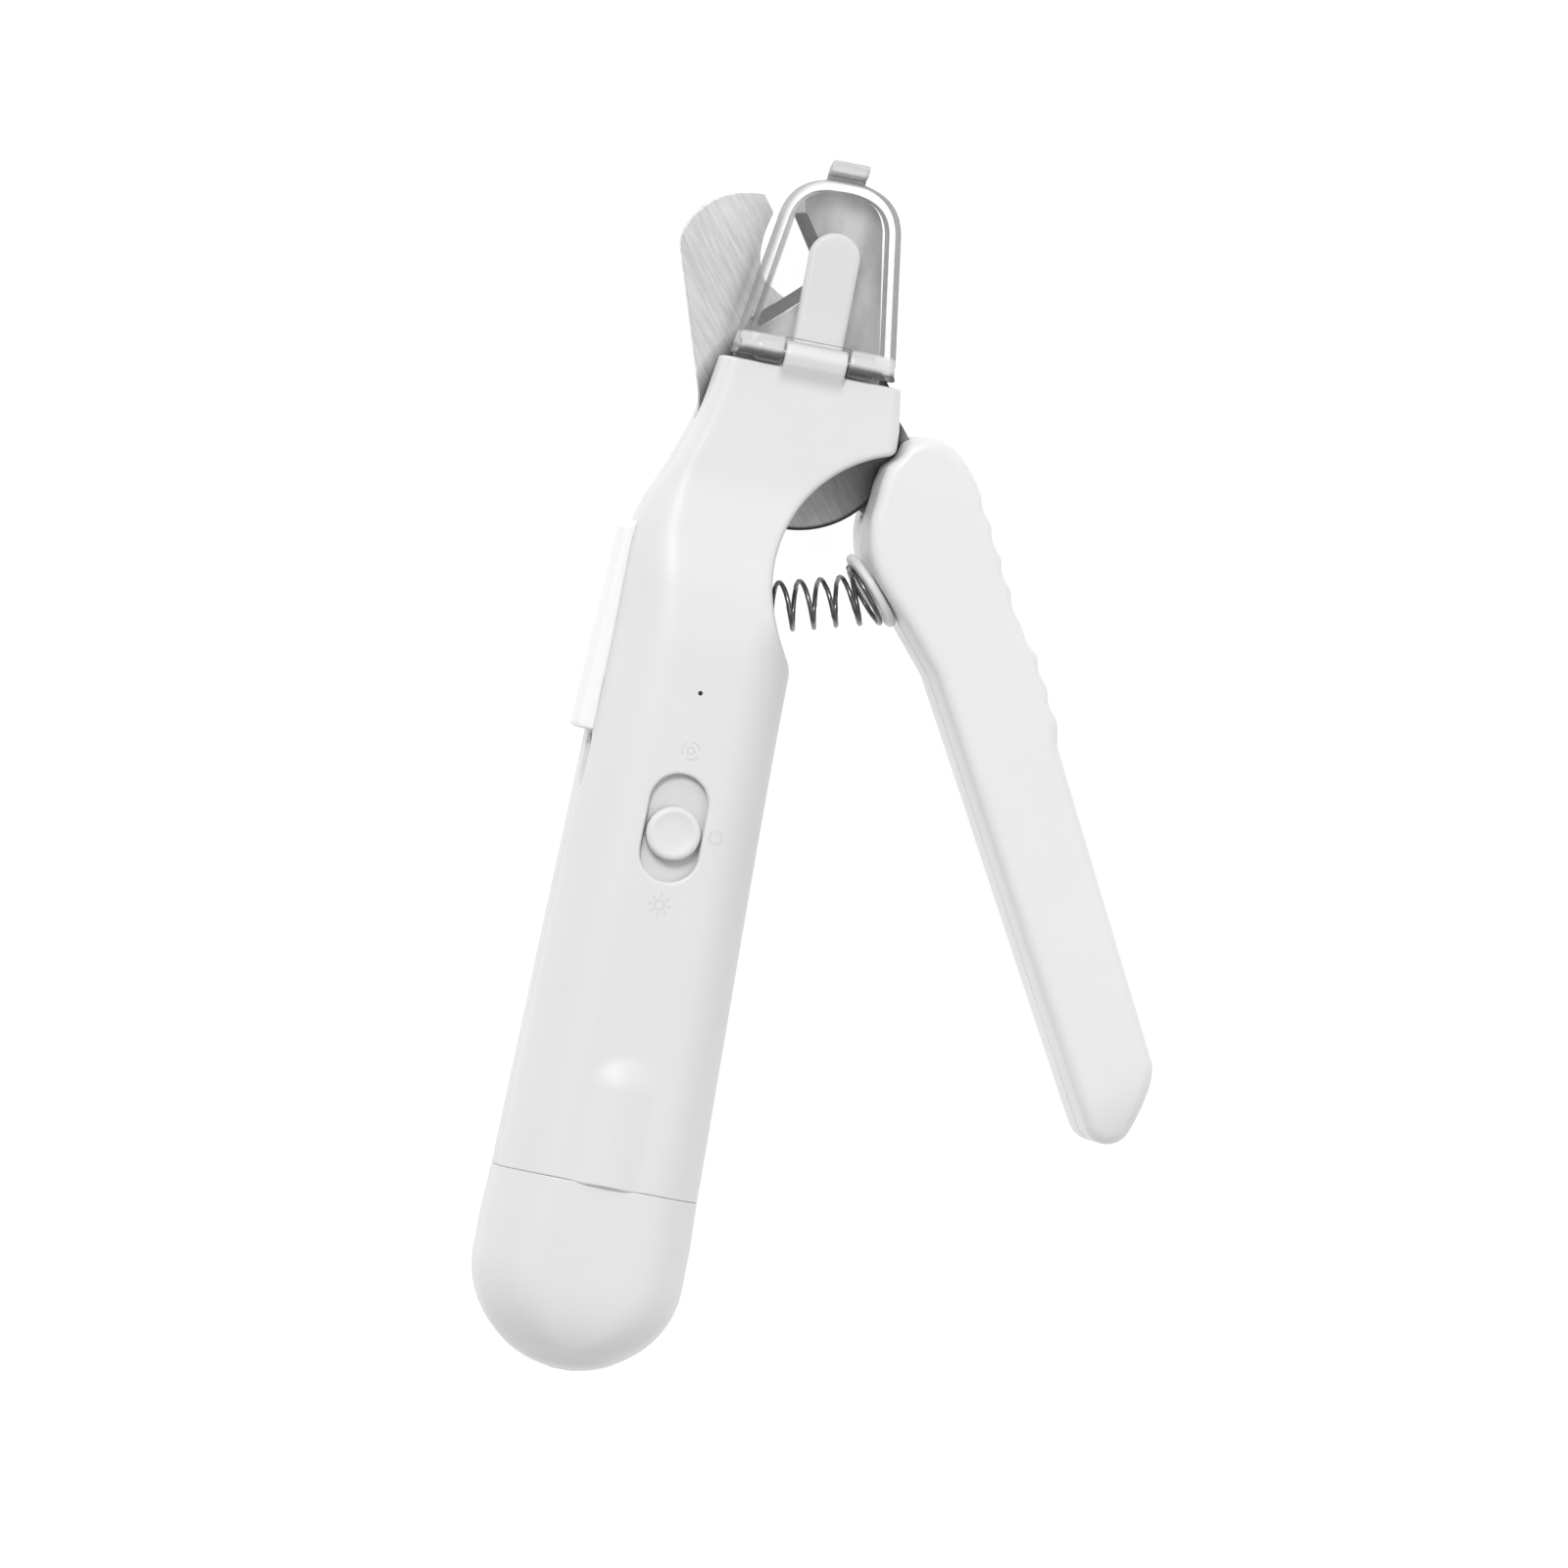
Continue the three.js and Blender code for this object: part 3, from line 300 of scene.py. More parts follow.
def arc(cx, cy, radius, start, end, steps):
    """Points on a circle from one angle to another, in degrees."""
    turns = [math.radians(start + (end - start) * i / steps) for i in range(steps + 1)]
    return [(cx + radius * math.cos(t), cy + radius * math.sin(t)) for t in turns]


def on_curve(ends, t):
    """The point at t on a Bezier curve with these control points, and the direction there."""
    level = [Vector(p) for p in ends]
    while len(level) > 2:
        level = [a.lerp(b, t) for a, b in zip(level, level[1:])]
    a, b = level
    return a.lerp(b, t), (b - a).normalized()


def curve(ends, steps):
    """Points on a Bezier curve through its control points, without the first."""
    return [tuple(on_curve(ends, i / steps)[0]) for i in range(1, steps + 1)]


def spline(points, steps):
    """Points on a smooth curve through all the given ones, without the first."""
    ends = [points[0], *points, points[-1]]
    made = []
    for a, b, c, d in zip(ends, ends[1:], ends[2:], ends[3:]):
        a, b, c, d = (Vector(p) for p in (a, b, c, d))
        made += curve([b, b + (c - a) / 6, c - (d - b) / 6, c], steps)
    return made


def bevel(obj, width, angle):
    """Rounds the edges that are sharper than angle, in degrees."""
    edge = obj.modifiers.new("bevel", "BEVEL")
    edge.width = width * MM
    edge.segments = 2
    edge.limit_method = "ANGLE"
    edge.angle_limit = math.radians(angle)
    edge.harden_normals = True


def place_piece(obj, body, slot, *nodes):
    """Makes a piece ride on its body and stand for its CAD nodes."""
    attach(obj, body)
    if nodes:
        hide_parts(*nodes)


def finish_piece(obj, body, material, slot, *nodes):
    """Gives a piece its one material, and places it."""
    obj.data.materials.clear()
    obj.data.materials.append(material)
    place_piece(obj, body, slot, *nodes)


# -------- materials
class Nodes:
    """A material's node tree, with short calls for the nodes that the materials below share."""

    def __init__(self, name):
        self.material = bpy.data.materials.new(name)
        self.material.use_nodes = True
        self.tree = self.material.node_tree
        self.shader = self.tree.nodes["Principled BSDF"]
        self.where = self.tree.nodes.new("ShaderNodeTexCoord").outputs["Object"]

    def add(self, kind, **inputs):
        """A new node, its inputs given by name with _ for a space."""
        node = self.tree.nodes.new(kind)
        for key, value in inputs.items():
            self.put(node.inputs[key.replace("_", " ")], value)
        return node

    def put(self, socket, value):
        """Links a socket to another one, or sets it to a value."""
        if isinstance(value, bpy.types.NodeSocket):
            self.tree.links.new(value, socket)
        else:
            socket.default_value = value

    def stretched(self, scale, turn=0.0):
        """The object's coordinates in metres, turned about z, then scaled along each axis."""
        way = self.add("ShaderNodeMapping", Vector=self.where, Rotation=(0, 0, turn)).outputs[0]
        return self.add("ShaderNodeMapping", Vector=way, Scale=scale).outputs[0]

    def noise(self, way, scale, detail=3.0, roughness=0.5):
        made = self.add("ShaderNodeTexNoise", Vector=way, Scale=scale, Detail=detail, Roughness=roughness)
        return made.outputs["Fac"]

    def ramp(self, value, low, high, start=0.3, end=0.7):
        """low to high, as numbers or colours, while value goes from start to end."""
        ends = {"From_Min": start, "From_Max": end}
        if isinstance(low, tuple):
            share = self.add("ShaderNodeMapRange", Value=value, **ends).outputs["Result"]
            return self.mixed(share, low, high)
        return self.add("ShaderNodeMapRange", Value=value, To_Min=low, To_Max=high, **ends).outputs["Result"]

    def bands(self, along, stops):
        """A grey that follows (distance from the pivot in mm, value) stops along a length in metres."""
        start, end = stops[0][0], stops[-1][0]
        share = self.ramp(along, 0.0, 1.0, (PIVOT[1] + start) * MM, (PIVOT[1] + end) * MM)
        node = self.add("ShaderNodeValToRGB", Fac=share)
        elements = node.color_ramp.elements
        for distance, _ in stops[1:-1]:
            elements.new((distance - start) / (end - start))
        for element, (_, value) in zip(elements, stops):
            element.color = (*grey(value), 1)
        return node.outputs["Color"]

    def mixed(self, share, *colours):
        """The first colour where share is 0 and the second where it is 1."""
        mix = self.add("ShaderNodeMixRGB", Fac=share)
        for socket, colour in zip(("Color1", "Color2"), colours):
            self.put(mix.inputs[socket], (*colour, 1) if isinstance(colour, tuple) else colour)
        return mix.outputs[0]

    def vector(self, operation, *values):
        made = self.add("ShaderNodeVectorMath")
        made.operation = operation
        for socket, value in zip(made.inputs, values):
            self.put(socket, value)
        return made.outputs["Value" if operation in ("LENGTH", "DOT_PRODUCT") else "Vector"]

    def bump(self, height, distance):
        made = self.add("ShaderNodeBump", Height=height, Strength=1.0, Distance=distance)
        self.put(self.shader.inputs["Normal"], made.outputs["Normal"])

    def set(self, **inputs):
        for key, value in inputs.items():
            self.put(self.shader.inputs[key.replace("_", " ")], value)


def grey(value, tint=(1, 1, 1)):
    return tuple(value * t for t in tint)


def moulded(name, colour, roughness):
    """Injection-moulded plastic: a spark-eroded grain, and faint flow clouds in colour and gloss."""
    n = Nodes(name)
    flow = n.noise(n.where, 60, 2)
    grain = n.noise(n.where, 4200, 2, 0.6)
    n.set(Base_Color=n.ramp(flow, grey(0.98, colour), colour),
          Roughness=n.ramp(flow, roughness + 0.05, roughness - 0.03))
    n.bump(grain, 0.004 * MM)
    return n.material


def ground_steel(name, shades, roughness, turn, contrast=1.0):
    """Ground blade steel: fine lines across the blade, and broad uneven bands.
    The function shades makes its colour in the node tree."""
    n = Nodes(name)
    lines = n.noise(n.stretched((230, 3400, 230), turn), 1.0, 2, 0.6)
    broad = n.noise(n.stretched((60, 600, 60), turn), 1.0, 2)
    smear = n.noise(n.where, 90, 3)
    light = n.ramp(lines, grey(1 - 0.1 * contrast), grey(1 + 0.07 * contrast), 0.38, 0.62)
    wide = n.ramp(broad, grey(1 - 0.03 * contrast), grey(1 + 0.03 * contrast), 0.35, 0.65)
    tone = n.vector("MULTIPLY", light, wide)
    n.set(Base_Color=n.vector("MULTIPLY", tone, shades(n)), Metallic=1.0,
          Roughness=n.ramp(smear, roughness - 0.06, roughness + 0.08))
    n.bump(lines, 0.004 * MM)
    return n.material


def jaw_with_painted_shade(n):
    """Bright jaw; painted shade on the disc about the pivot, from its lower left towards the lever, and at
    its rim.
    """
    from_middle = n.vector("MULTIPLY_ADD", n.where, (1, 1, 0), (-PIVOT[0] * MM, -PIVOT[1] * MM, 0))
    far = n.vector("LENGTH", from_middle)
    slant = n.vector("DOT_PRODUCT", from_middle, (0.8, 0.6, 0))
    # Painted shade: the disc grows darker towards the lever, and a painted dark line runs just inside its
    # rim.
    inner = n.ramp(slant, grey(0.4), grey(0.11), -7 * MM, 5 * MM)
    rim = n.mixed(n.ramp(far, 0.0, 1.0, 12.3 * MM, 12.6 * MM), inner, grey(0.04))
    return n.mixed(n.ramp(far, 0.0, 1.0, 12.8 * MM, 15.5 * MM), rim, grey(0.66))


def fixed_shades(n):
    """Smooth steel that darkens a little in long streaks."""
    streak = n.noise(n.stretched((260, 70, 60)), 1.0, 2, 0.4)
    return n.ramp(streak, grey(0.4), grey(0.6), 0.35, 0.62)


def edge_shades(n):
    """Darker steel, the same all over."""
    return grey(0.2)


def plain_metal(name, colour, roughness):
    """Plated or drawn metal with faint mottling."""
    n = Nodes(name)
    mottle = n.noise(n.where, 900, 3)
    n.set(Base_Color=n.ramp(mottle, grey(0.86, colour), grey(1.05, colour)), Metallic=1.0,
          Roughness=n.ramp(mottle, roughness - 0.05, roughness + 0.1))
    n.bump(mottle, 0.004 * MM)
    return n.material


def clear_plastic(name):
    """Polished clear plastic: see-through face on and dark along its slanting edges. Painted shade darkens
    it at its foot and below its tab, and a painted highlight brightens the hinge knuckles and the tab."""
    n = Nodes(name)
    haze = n.noise(n.where, 140, 2)
    slant = n.add("ShaderNodeLayerWeight", Blend=0.5).outputs["Facing"]
    height = n.vector("DOT_PRODUCT", n.where, (0, 1, 0))
    # Painted highlight: more of the white glossy surface on the hinge knuckles and the tab, set by height.
    gloss = n.bands(height, [(8, 0.1), (9, 0.15), (9.5, 0.65), (10.9, 0.65), (11.3, 0), (32.8, 0),
                             (33.1, 0.5), (36, 0.5)])
    n.set(Base_Color=n.ramp(haze, grey(0.86), grey(0.93)), Roughness=n.ramp(haze, 0.1, 0.04), IOR=1.49)
    # Painted shade: less light passes through the cover at its foot and in a band just below its tab.
    tint = n.bands(height, [(8, 0.5), (8.7, 0.6), (9.1, 1), (31.8, 1), (32.1, 0.5), (32.7, 0.5), (33, 1),
                            (36, 1)])
    passed = n.ramp(slant, grey(0.975), grey(0.12), 0.12, 1.0)
    clear = n.add("ShaderNodeBsdfTransparent", Color=n.vector("MULTIPLY", passed, tint))
    share = n.add("ShaderNodeMath")
    share.operation = "MAXIMUM"
    n.put(share.inputs[0], n.ramp(slant, 0.04, 0.4, 0.2, 0.8))
    n.put(share.inputs[1], gloss)
    mix = n.add("ShaderNodeMixShader", Fac=share.outputs[0])
    n.put(mix.inputs[1], clear.outputs[0])
    n.put(mix.inputs[2], n.shader.outputs[0])
    n.put(n.tree.nodes["Material Output"].inputs["Surface"], mix.outputs[0])
    return n.material


def frosted_plastic(name):
    """Milky plastic that scatters the light inside it."""
    n = Nodes(name)
    cloud = n.noise(n.where, 220, 3)
    grain = n.noise(n.where, 5200, 2)
    n.set(Base_Color=n.ramp(cloud, grey(0.92), grey(0.95)), Roughness=n.ramp(cloud, 0.5, 0.4),
          Subsurface_Weight=0.15, Subsurface_Radius=(0.002, 0.002, 0.002), Subsurface_Scale=0.6)
    n.bump(grain, 0.004 * MM)
    return n.material


def grit(name):
    """Bonded abrasive: dark binder with pale grains standing out of it."""
    n = Nodes(name)
    grains = n.add("ShaderNodeTexVoronoi", Vector=n.where, Scale=3200.0)
    size = n.noise(n.where, 2600, 3)
    n.set(Base_Color=n.ramp(grains.outputs["Distance"], grey(0.5), grey(0.16), 0.1, 0.6), Roughness=0.85)
    n.bump(n.ramp(size, 0.0, 1.0), 0.08 * MM)
    return n.material


def board(name):
    """Green circuit board with darker copper areas."""
    n = Nodes(name)
    cells = n.add("ShaderNodeTexVoronoi", Vector=n.where, Scale=420.0)
    n.set(Base_Color=n.ramp(cells.outputs["Distance"], (0.02, 0.16, 0.06), (0.01, 0.09, 0.03)),
          Roughness=n.ramp(cells.outputs["Distance"], 0.3, 0.55))
    return n.material


WHITE = moulded("white_abs", grey(0.79), 0.4)
LEVER_WHITE = moulded("lever_abs", grey(0.83), 0.38)
BRIGHT_WHITE = moulded("bright_abs", grey(0.93), 0.5)
INK = moulded("grey_ink", grey(0.71), 0.5)
CLEAR = clear_plastic("clear_plastic")
FROSTED = frosted_plastic("frosted_plastic")
JAW_STEEL = ground_steel("moving_blade_steel", jaw_with_painted_shade, 0.34, math.radians(52))
FIXED_STEEL = ground_steel("fixed_blade_steel", fixed_shades, 0.4, math.radians(52), 0.3)
GRIND_STEEL = ground_steel("ground_edge_steel", edge_shades, 0.3, math.radians(50), 0.5)
BRIGHT_STEEL = plain_metal("bright_steel", (0.66, 0.66, 0.67), 0.28)
SPRING_STEEL = plain_metal("spring_steel", (0.2, 0.2, 0.21), 0.2)
DARK_STEEL = plain_metal("dark_steel", (0.15, 0.15, 0.16), 0.5)
BRASS = plain_metal("sintered_brass", (0.6, 0.42, 0.2), 0.45)
GRIT = grit("bonded_grit")
BOARD = board("circuit_board")
BLACKENED_STEEL = plain_metal("blackened_steel", (0.02, 0.02, 0.022), 0.5)
# Painted shade: the plate under the switch slot is a little darker than the shell's white, for the shade in
# the slot.
SHADED_PLATE_WHITE = moulded("plate_abs_painted_shade", grey(0.7), 0.45)
BLACK = moulded("black_nylon", (0.012, 0.012, 0.013), 0.5)
RED = moulded("red_insulation", (0.4, 0.012, 0.012), 0.45)
BLUE = moulded("blue_wrap", (0.02, 0.1, 0.34), 0.35)
LAMP = moulded("lamp_body", (0.85, 0.8, 0.55), 0.3)


# -------- handle and head
def section(x, y, z, inset=0.0):
    """The rounded rectangle across the handle at y, moved in by inset."""
    left, right = along(LEFT_EDGE, y) + inset, along(RIGHT_EDGE, y) - inset
    half = along(HALF_DEPTH, y) - inset
    corner = np.where(z > MID_Z, along(FRONT_CORNER, y), along(REAR_CORNER, y)) - inset
    corner = np.minimum(np.maximum(corner, 0.8), half - 0.01)
    return both(slab(x, left, right), np.abs(z - MID_Z) - half, corner)


def handle_form(x, y, z):
    form = both(section(x, y, z), y - HEAD_TOP_Y, 0.35)
    form = less(form, disc(x, y, *NOTCH), 0.8)
    return both(form, SEAM_Y - y, SEAM_EDGE)


def handle_room(x, y, z):
    room = both(section(x, y, z, WALL), y - HEAD_TOP_Y + WALL)
    return less(room, disc(x, y, NOTCH[0], NOTCH[1], NOTCH[2] + 2.2))


def spring_well(x, y, z):
    sx, sy = SPRING_LINE[0]
    px, py = from_pivot(x, y)
    return rod(px, py, z, (sx - 0.7, sy - 0.1, MID_Z), (sx + 9, sy + 2, MID_Z), SPRING_COIL + 0.75)


def front_height(x, y):
    """Height of the handle's front face."""
    half, corner = along(HALF_DEPTH, y), along(FRONT_CORNER, y)
    left, right = along(LEFT_EDGE, y), along(RIGHT_EDGE, y)
    over = np.maximum(slab(x, left, right) + corner, 0)
    return MID_Z + half - corner + np.sqrt(np.maximum(corner ** 2 - over ** 2, 0))


def thumb_rib(x, y, z):
    """A round-ended rib that stands out of the front face and runs down to the cap."""
    middle = MID_Z + along(HALF_DEPTH, SEAM_Y) + RIB_HEIGHT - RIB_R
    rib = np.sqrt(x ** 2 + (z - middle) ** 2 + np.maximum(y - RIB_TOP, 0) ** 2) - RIB_R
    return both(rib, SEAM_Y - y, SEAM_EDGE)


def hinge_saddle(px, py, z):
    """The barrel that the cover's pin passes through, and the ramp that carries it."""
    barrel = np.hypot(py - HINGE_Y, z - HINGE_Z) - HINGE_R
    ramp = side_outline(py, z, [(5.4, 16.6), (HINGE_Y, 16.4), (HINGE_Y, HINGE_Z + HINGE_R),
                                (HINGE_Y - 1.4, 19.3), (5.4, 17.5)])
    sides = slab(px, HINGE_X - HINGE_HALF, HINGE_X + HINGE_HALF)
    return both(plus(barrel, ramp, 0.2), sides, 0.3)


def front_shell_field(x, y, z):
    px, py = from_pivot(x, y)
    shell = plus(handle_form(x, y, z), thumb_rib(x, y, z), 1.0)
    shell = less(shell, handle_room(x, y, z), 0.2)
    shell = both(shell, MID_Z + SHELL_GAP - z, 0.25)
    root = both(box(px, py, z, (-11.2, -8, 8), (9.9, 9, FIXED_Z + BLADE + SLIT)),
                -disc(x, y, NOTCH[0], NOTCH[1], NOTCH[2] + 2.4))
    guide_slot = box(px, py, z, (GUIDE_LEFT - SLIT, 4, 12.5), (GUIDE_RIGHT + SLIT, 9, 15.9))
    run = SLOT_LENGTH - 2 * SLOT_R
    switch_slot = both(stadium(x, y, 0, SLOT_Y, SLOT_R, run), 16 - z)
    reach = PLATE_HALF + PLATE_TRAVEL + SLIT
    pocket = box(x, y, z, (-5, BUTTON_Y - reach, 17), (5, BUTTON_Y + reach, PLATE_TOP + SLIT), 0.3)
    shell = less(less(less(shell, root), guide_slot, 0.2), pocket)
    shell = less(less(shell, spring_well(x, y, z), 0.5), switch_slot, 0.3)
    shell = less(shell, port_opening(x, y, z), 0.15)
    return plus(shell, hinge_saddle(px, py, z), 0.5)


def port_opening(x, y, z):
    half_length, half_height = PORT_LENGTH / 2 + 0.1, PORT_HEIGHT / 2 + 0.1
    return box(x, y, z, (-16, PORT_Y - half_length, PORT_Z - half_height),
               (-8, PORT_Y + half_length, PORT_Z + half_height), 1.4)


def rear_shell_field(x, y, z):
    px, py = from_pivot(x, y)
    form = handle_form(x, y, z)
    shell = less(form, handle_room(x, y, z), 0.2)
    posts = np.minimum.reduce([disc(x, y, sx, sy, 2.9) for sx, sy in BODY_SCREWS])
    shell = plus(shell, both(posts, form))
    shell = both(shell, z - MID_Z + SHELL_GAP, 0.25)
    floor = MOVING_Z - 0.45
    sweep = np.minimum.reduce([
        both(disc(px, py, 0, 0, 13.4), floor - z),
        box(px, py, z, (-24, 1.2, floor), (13, 10, 13)),
        box(px, py, z, (0, -15, floor), (16, 4.6, 13)),
    ])
    shell = less(less(shell, sweep, 0.25), spring_well(x, y, z), 0.5)
    for sx, sy in BODY_SCREWS:
        seat = MID_Z - along(HALF_DEPTH, np.array(float(sy))) + 3.2
        shell = less(shell, both(disc(x, y, sx, sy, 2.4), z - seat), 0.3)
    return shell


def make_shells():
    low, high = (-13.4, SEAM_Y, 0), (19.8, HEAD_TOP_Y + 4, 21.5)
    cell = 0.36
    rows = [SEAM_Y] + [SEAM_Y + v for v in SEAM_ROWS] + [HEAD_TOP_Y - v for v in (0, *SEAM_ROWS)]
    front = mould("front_shell_fine", front_shell_field, (low[0], low[1], MID_Z), high, cell, rows)
    finish_piece(front, "handle", WHITE, "white_plastic", "front_shell")
    rear = mould("rear_shell_fine", rear_shell_field, low, (high[0], HEAD_TOP_Y, MID_Z), cell, rows)
    finish_piece(rear, "handle", WHITE, "white_plastic", "rear_shell")


def make_side_grip():
    """The raised strip on the left flank, fitted against the handle's wall."""
    flank = [(-11, 49.7), (-11.8, 49.5), (-12.9, 48.6), (-14.1, 22.7), (-13.7, 22.15), (-11, 22.15)]

    def field(x, y, z):
        strip = both(outline(x, y, flank), slab(z, 6.6, 14), 0.45)
        return less(strip, section(x, y, z) + 0.05)

    grip = mould("side_grip_fine", field, (-14.2, 22, 6.5), (-11.3, 49.8, 14.1), 0.24)
    finish_piece(grip, "handle", BRIGHT_WHITE, "soft_white", "side_grip")


def make_port():
    """The socket's dark metal sleeve with its contact tongue. Both flanks are alike at its height."""
    mouth = 0.35 - along(RIGHT_EDGE, np.array(PORT_Y))
    end = mouth + 5.4
    low = (mouth, PORT_Y - PORT_LENGTH / 2, PORT_Z - PORT_HEIGHT / 2)
    high = (end, PORT_Y + PORT_LENGTH / 2, PORT_Z + PORT_HEIGHT / 2)

    def bar(x, y, z, wall):
        return box(x, y, z, (mouth - 9, low[1] + wall, low[2] + wall),
                   (end + 9, high[1] - wall, high[2] - wall), PORT_HEIGHT / 2 - wall - 0.01)

    def field(x, y, z):
        sleeve = both(bar(x, y, z, 0), slab(x, mouth, end), 0.1)
        sleeve = less(sleeve, both(bar(x, y, z, 0.35), x - end + 0.6), 0.1)
        tongue = box(x, y, z, (mouth + 0.6, PORT_Y - 2.2, PORT_Z - 0.35),
                     (end, PORT_Y + 2.2, PORT_Z + 0.35), 0.1)
        return plus(sleeve, tongue)

    port = mould("charging_socket_fine", field, low, high, 0.14)
    finish_piece(port, "handle", BLACKENED_STEEL, "bright_steel", "charging_socket")


def make_indicator():
    """The tiny dark lens over the charge indicator."""
    lens = turned("indicator_lens", [(0, 0), (0.32, 0), (0.32, 0.1), (0.2, 0.22), (0, 0.26)], 24)
    height = front_height(0, np.array(INDICATOR_Y)) - 0.12
    lens.location = Vector((0, INDICATOR_Y, height)) * MM
    finish_piece(lens, "handle", BLACK, "black_plastic")


# -------- switch
def make_button():
    """The round button, dished on top."""
    top, base = MID_Z + 11.2, PLATE_TOP + SLIT
    rim = [(BUTTON_R - inward, top - drop) for inward, drop in
           ((0, 0.6), (0.08, 0.3), (0.3, 0.08), (0.6, 0), (0.9, 0.03), (1.3, 0.14), (2.2, 0.2))]
    profile = [(0, base), (BUTTON_R, base), *rim, (0, top - 0.22)]
    button = turned("switch_button_fine", profile, 72)
    button.location = Vector((0, BUTTON_Y, 0)) * MM
    finish_piece(button, "slider", WHITE, "white_plastic", "switch_button")


def plate_field(x, y, z):
    plate = box(x, y, z, (-4.6, BUTTON_Y - PLATE_HALF, PLATE_TOP - 0.7),
                (4.6, BUTTON_Y + PLATE_HALF, PLATE_TOP), 0.3)
    peg = box(x, y, z, (-1.2, BUTTON_Y - 1.2, 16.8), (1.2, BUTTON_Y + 1.2, PLATE_TOP - 0.4), 0.1)
    return plus(plate, peg)


def make_plate():
    """The plate that closes the slot under the button, and the peg that moves the switch."""
    low = (-4.7, BUTTON_Y - PLATE_HALF - 0.1, 16.7)
    high = (4.7, BUTTON_Y + PLATE_HALF + 0.1, PLATE_TOP + 0.1)
    plate = mould("switch_plate_fine", plate_field, low, high, 0.3)
    # The plate's white is darkened as painted shade in the slot.
    finish_piece(plate, "slider", SHADED_PLATE_WHITE, "white_plastic", "switch_plate")


def ribbon(name, strokes, width, at):
    """Thin raised strokes lying on the handle's front face round a centre."""
    vertices, faces = [], []
    for stroke in strokes:
        points = np.array(stroke, float)
        way = np.gradient(points, axis=0)
        side = np.stack([-way[:, 1], way[:, 0]], 1)
        side *= width / 2 / np.linalg.norm(side, axis=1)[:, None]
        start = len(vertices)
        for p, s in zip(points, side):
            for spot, lift in ((p - s, 0.05), (p + s, 0.05), (p + s, -0.15), (p - s, -0.15)):
                x, y = spot + at
                vertices.append((x, y, float(front_height(x, np.array(y))) + lift))
        count = len(points)
        for i in range(count - 1):
            a, b = start + 4 * i, start + 4 * (i + 1)
            faces += [[a + j, a + (j + 1) % 4, b + (j + 1) % 4, b + j] for j in range(4)]
        faces += [[start + 3, start + 2, start + 1, start], [start + 4 * count - 4 + j for j in range(4)]]
    return new_object(name, vertices, faces, smooth=False)


def make_symbols():
    """A lamp, a ring for off and a spinning wheel beside the switch."""
    rays = [[(0.95 * math.cos(t), 0.95 * math.sin(t)), (1.45 * math.cos(t), 1.45 * math.sin(t))]
            for t in (math.pi * i / 4 for i in range(8))]
    symbols = {
        "symbol_lamp": ([arc(0, 0, 0.62, 0, 360, 24)] + rays, (0, 1.9)),
        "symbol_off": ([arc(0, 0, 0.85, 115, 425, 24), [(0, 0.35), (0, 1.15)]], (5.5, 11.6)),
        "symbol_wheel": ([arc(0, 0, 0.45, 0, 360, 16)]
                         + [arc(0, 0, 1.15, start, start + 85, 10) for start in (10, 130, 250)], (0.2, 22)),
    }
    for name, (strokes, at) in symbols.items():
        finish_piece(ribbon(name, strokes, 0.22, at), "handle", INK, "white_plastic")


# -------- tail cap, collar and grinder
def cap_form(x, y, z, inset=0.0):
    """The cap closes as a dome: round seen from the front, fuller in its depth."""
    bulge, end = -46.0, TAIL_Y + inset
    t = np.clip((bulge - y) / (bulge - end), 0, 1)
    widest = 13.1 + 0.25 * np.clip((SEAM_Y - y) / 6, 0, 1) - inset
    half = widest * np.sqrt(np.maximum(1 - t ** 2, 4e-4))
    deep = (MID_Z - inset) * np.cbrt(np.maximum(1 - t ** 3, 4e-4))
    corner = np.where(z > MID_Z, 8, 6 + 4 * t) - inset / 2
    corner = np.minimum(corner, np.minimum(half, deep) - 0.01)
    side = both(np.abs(x) - half, np.abs(z - MID_Z) - deep, corner)
    return np.maximum(side, end - y)


def cap_field(x, y, z):
    outer = both(cap_form(x, y, z), y - SEAM_Y + SEAM_SPACE, SEAM_EDGE)
    return less(outer, cap_form(x, y, z, CAP_WALL), 0.2)


def make_cap():
    cell = 0.32
    rows = [SEAM_Y - SEAM_SPACE - v for v in (0, *SEAM_ROWS)]
    cap = mould("tail_cap_fine", cap_field, (-13.5, TAIL_Y, 0), (13.5, SEAM_Y, 20.8), cell, rows)
    finish_piece(cap, "cap", WHITE, "white_plastic", "tail_cap")


def make_collar():
    """The hollow neck that the cap slides over."""
    def neck(x, z, inset):
        low, high = (inset - 10.8, -1, inset + 2.3), (10.8 - inset, 1, 18.3 - inset)
        return box(x, 0 * x, z, low, high, 5.2 - inset / 2)

    def field(x, y, z):
        body = both(neck(x, z, 0), slab(y, -41.4, -31.2), 0.5)
        body = less(body, both(neck(x, z, 2), y + 36.6), 0.3)
        return less(body, disc(x, z, 0, MID_Z, 3.4), 0.3)

    collar = mould("grinder_collar_fine", field, (-11, -41.5, 2), (11, -31, 18.5), 0.45)
    finish_piece(collar, "handle", WHITE, "white_plastic", "grinder_collar")


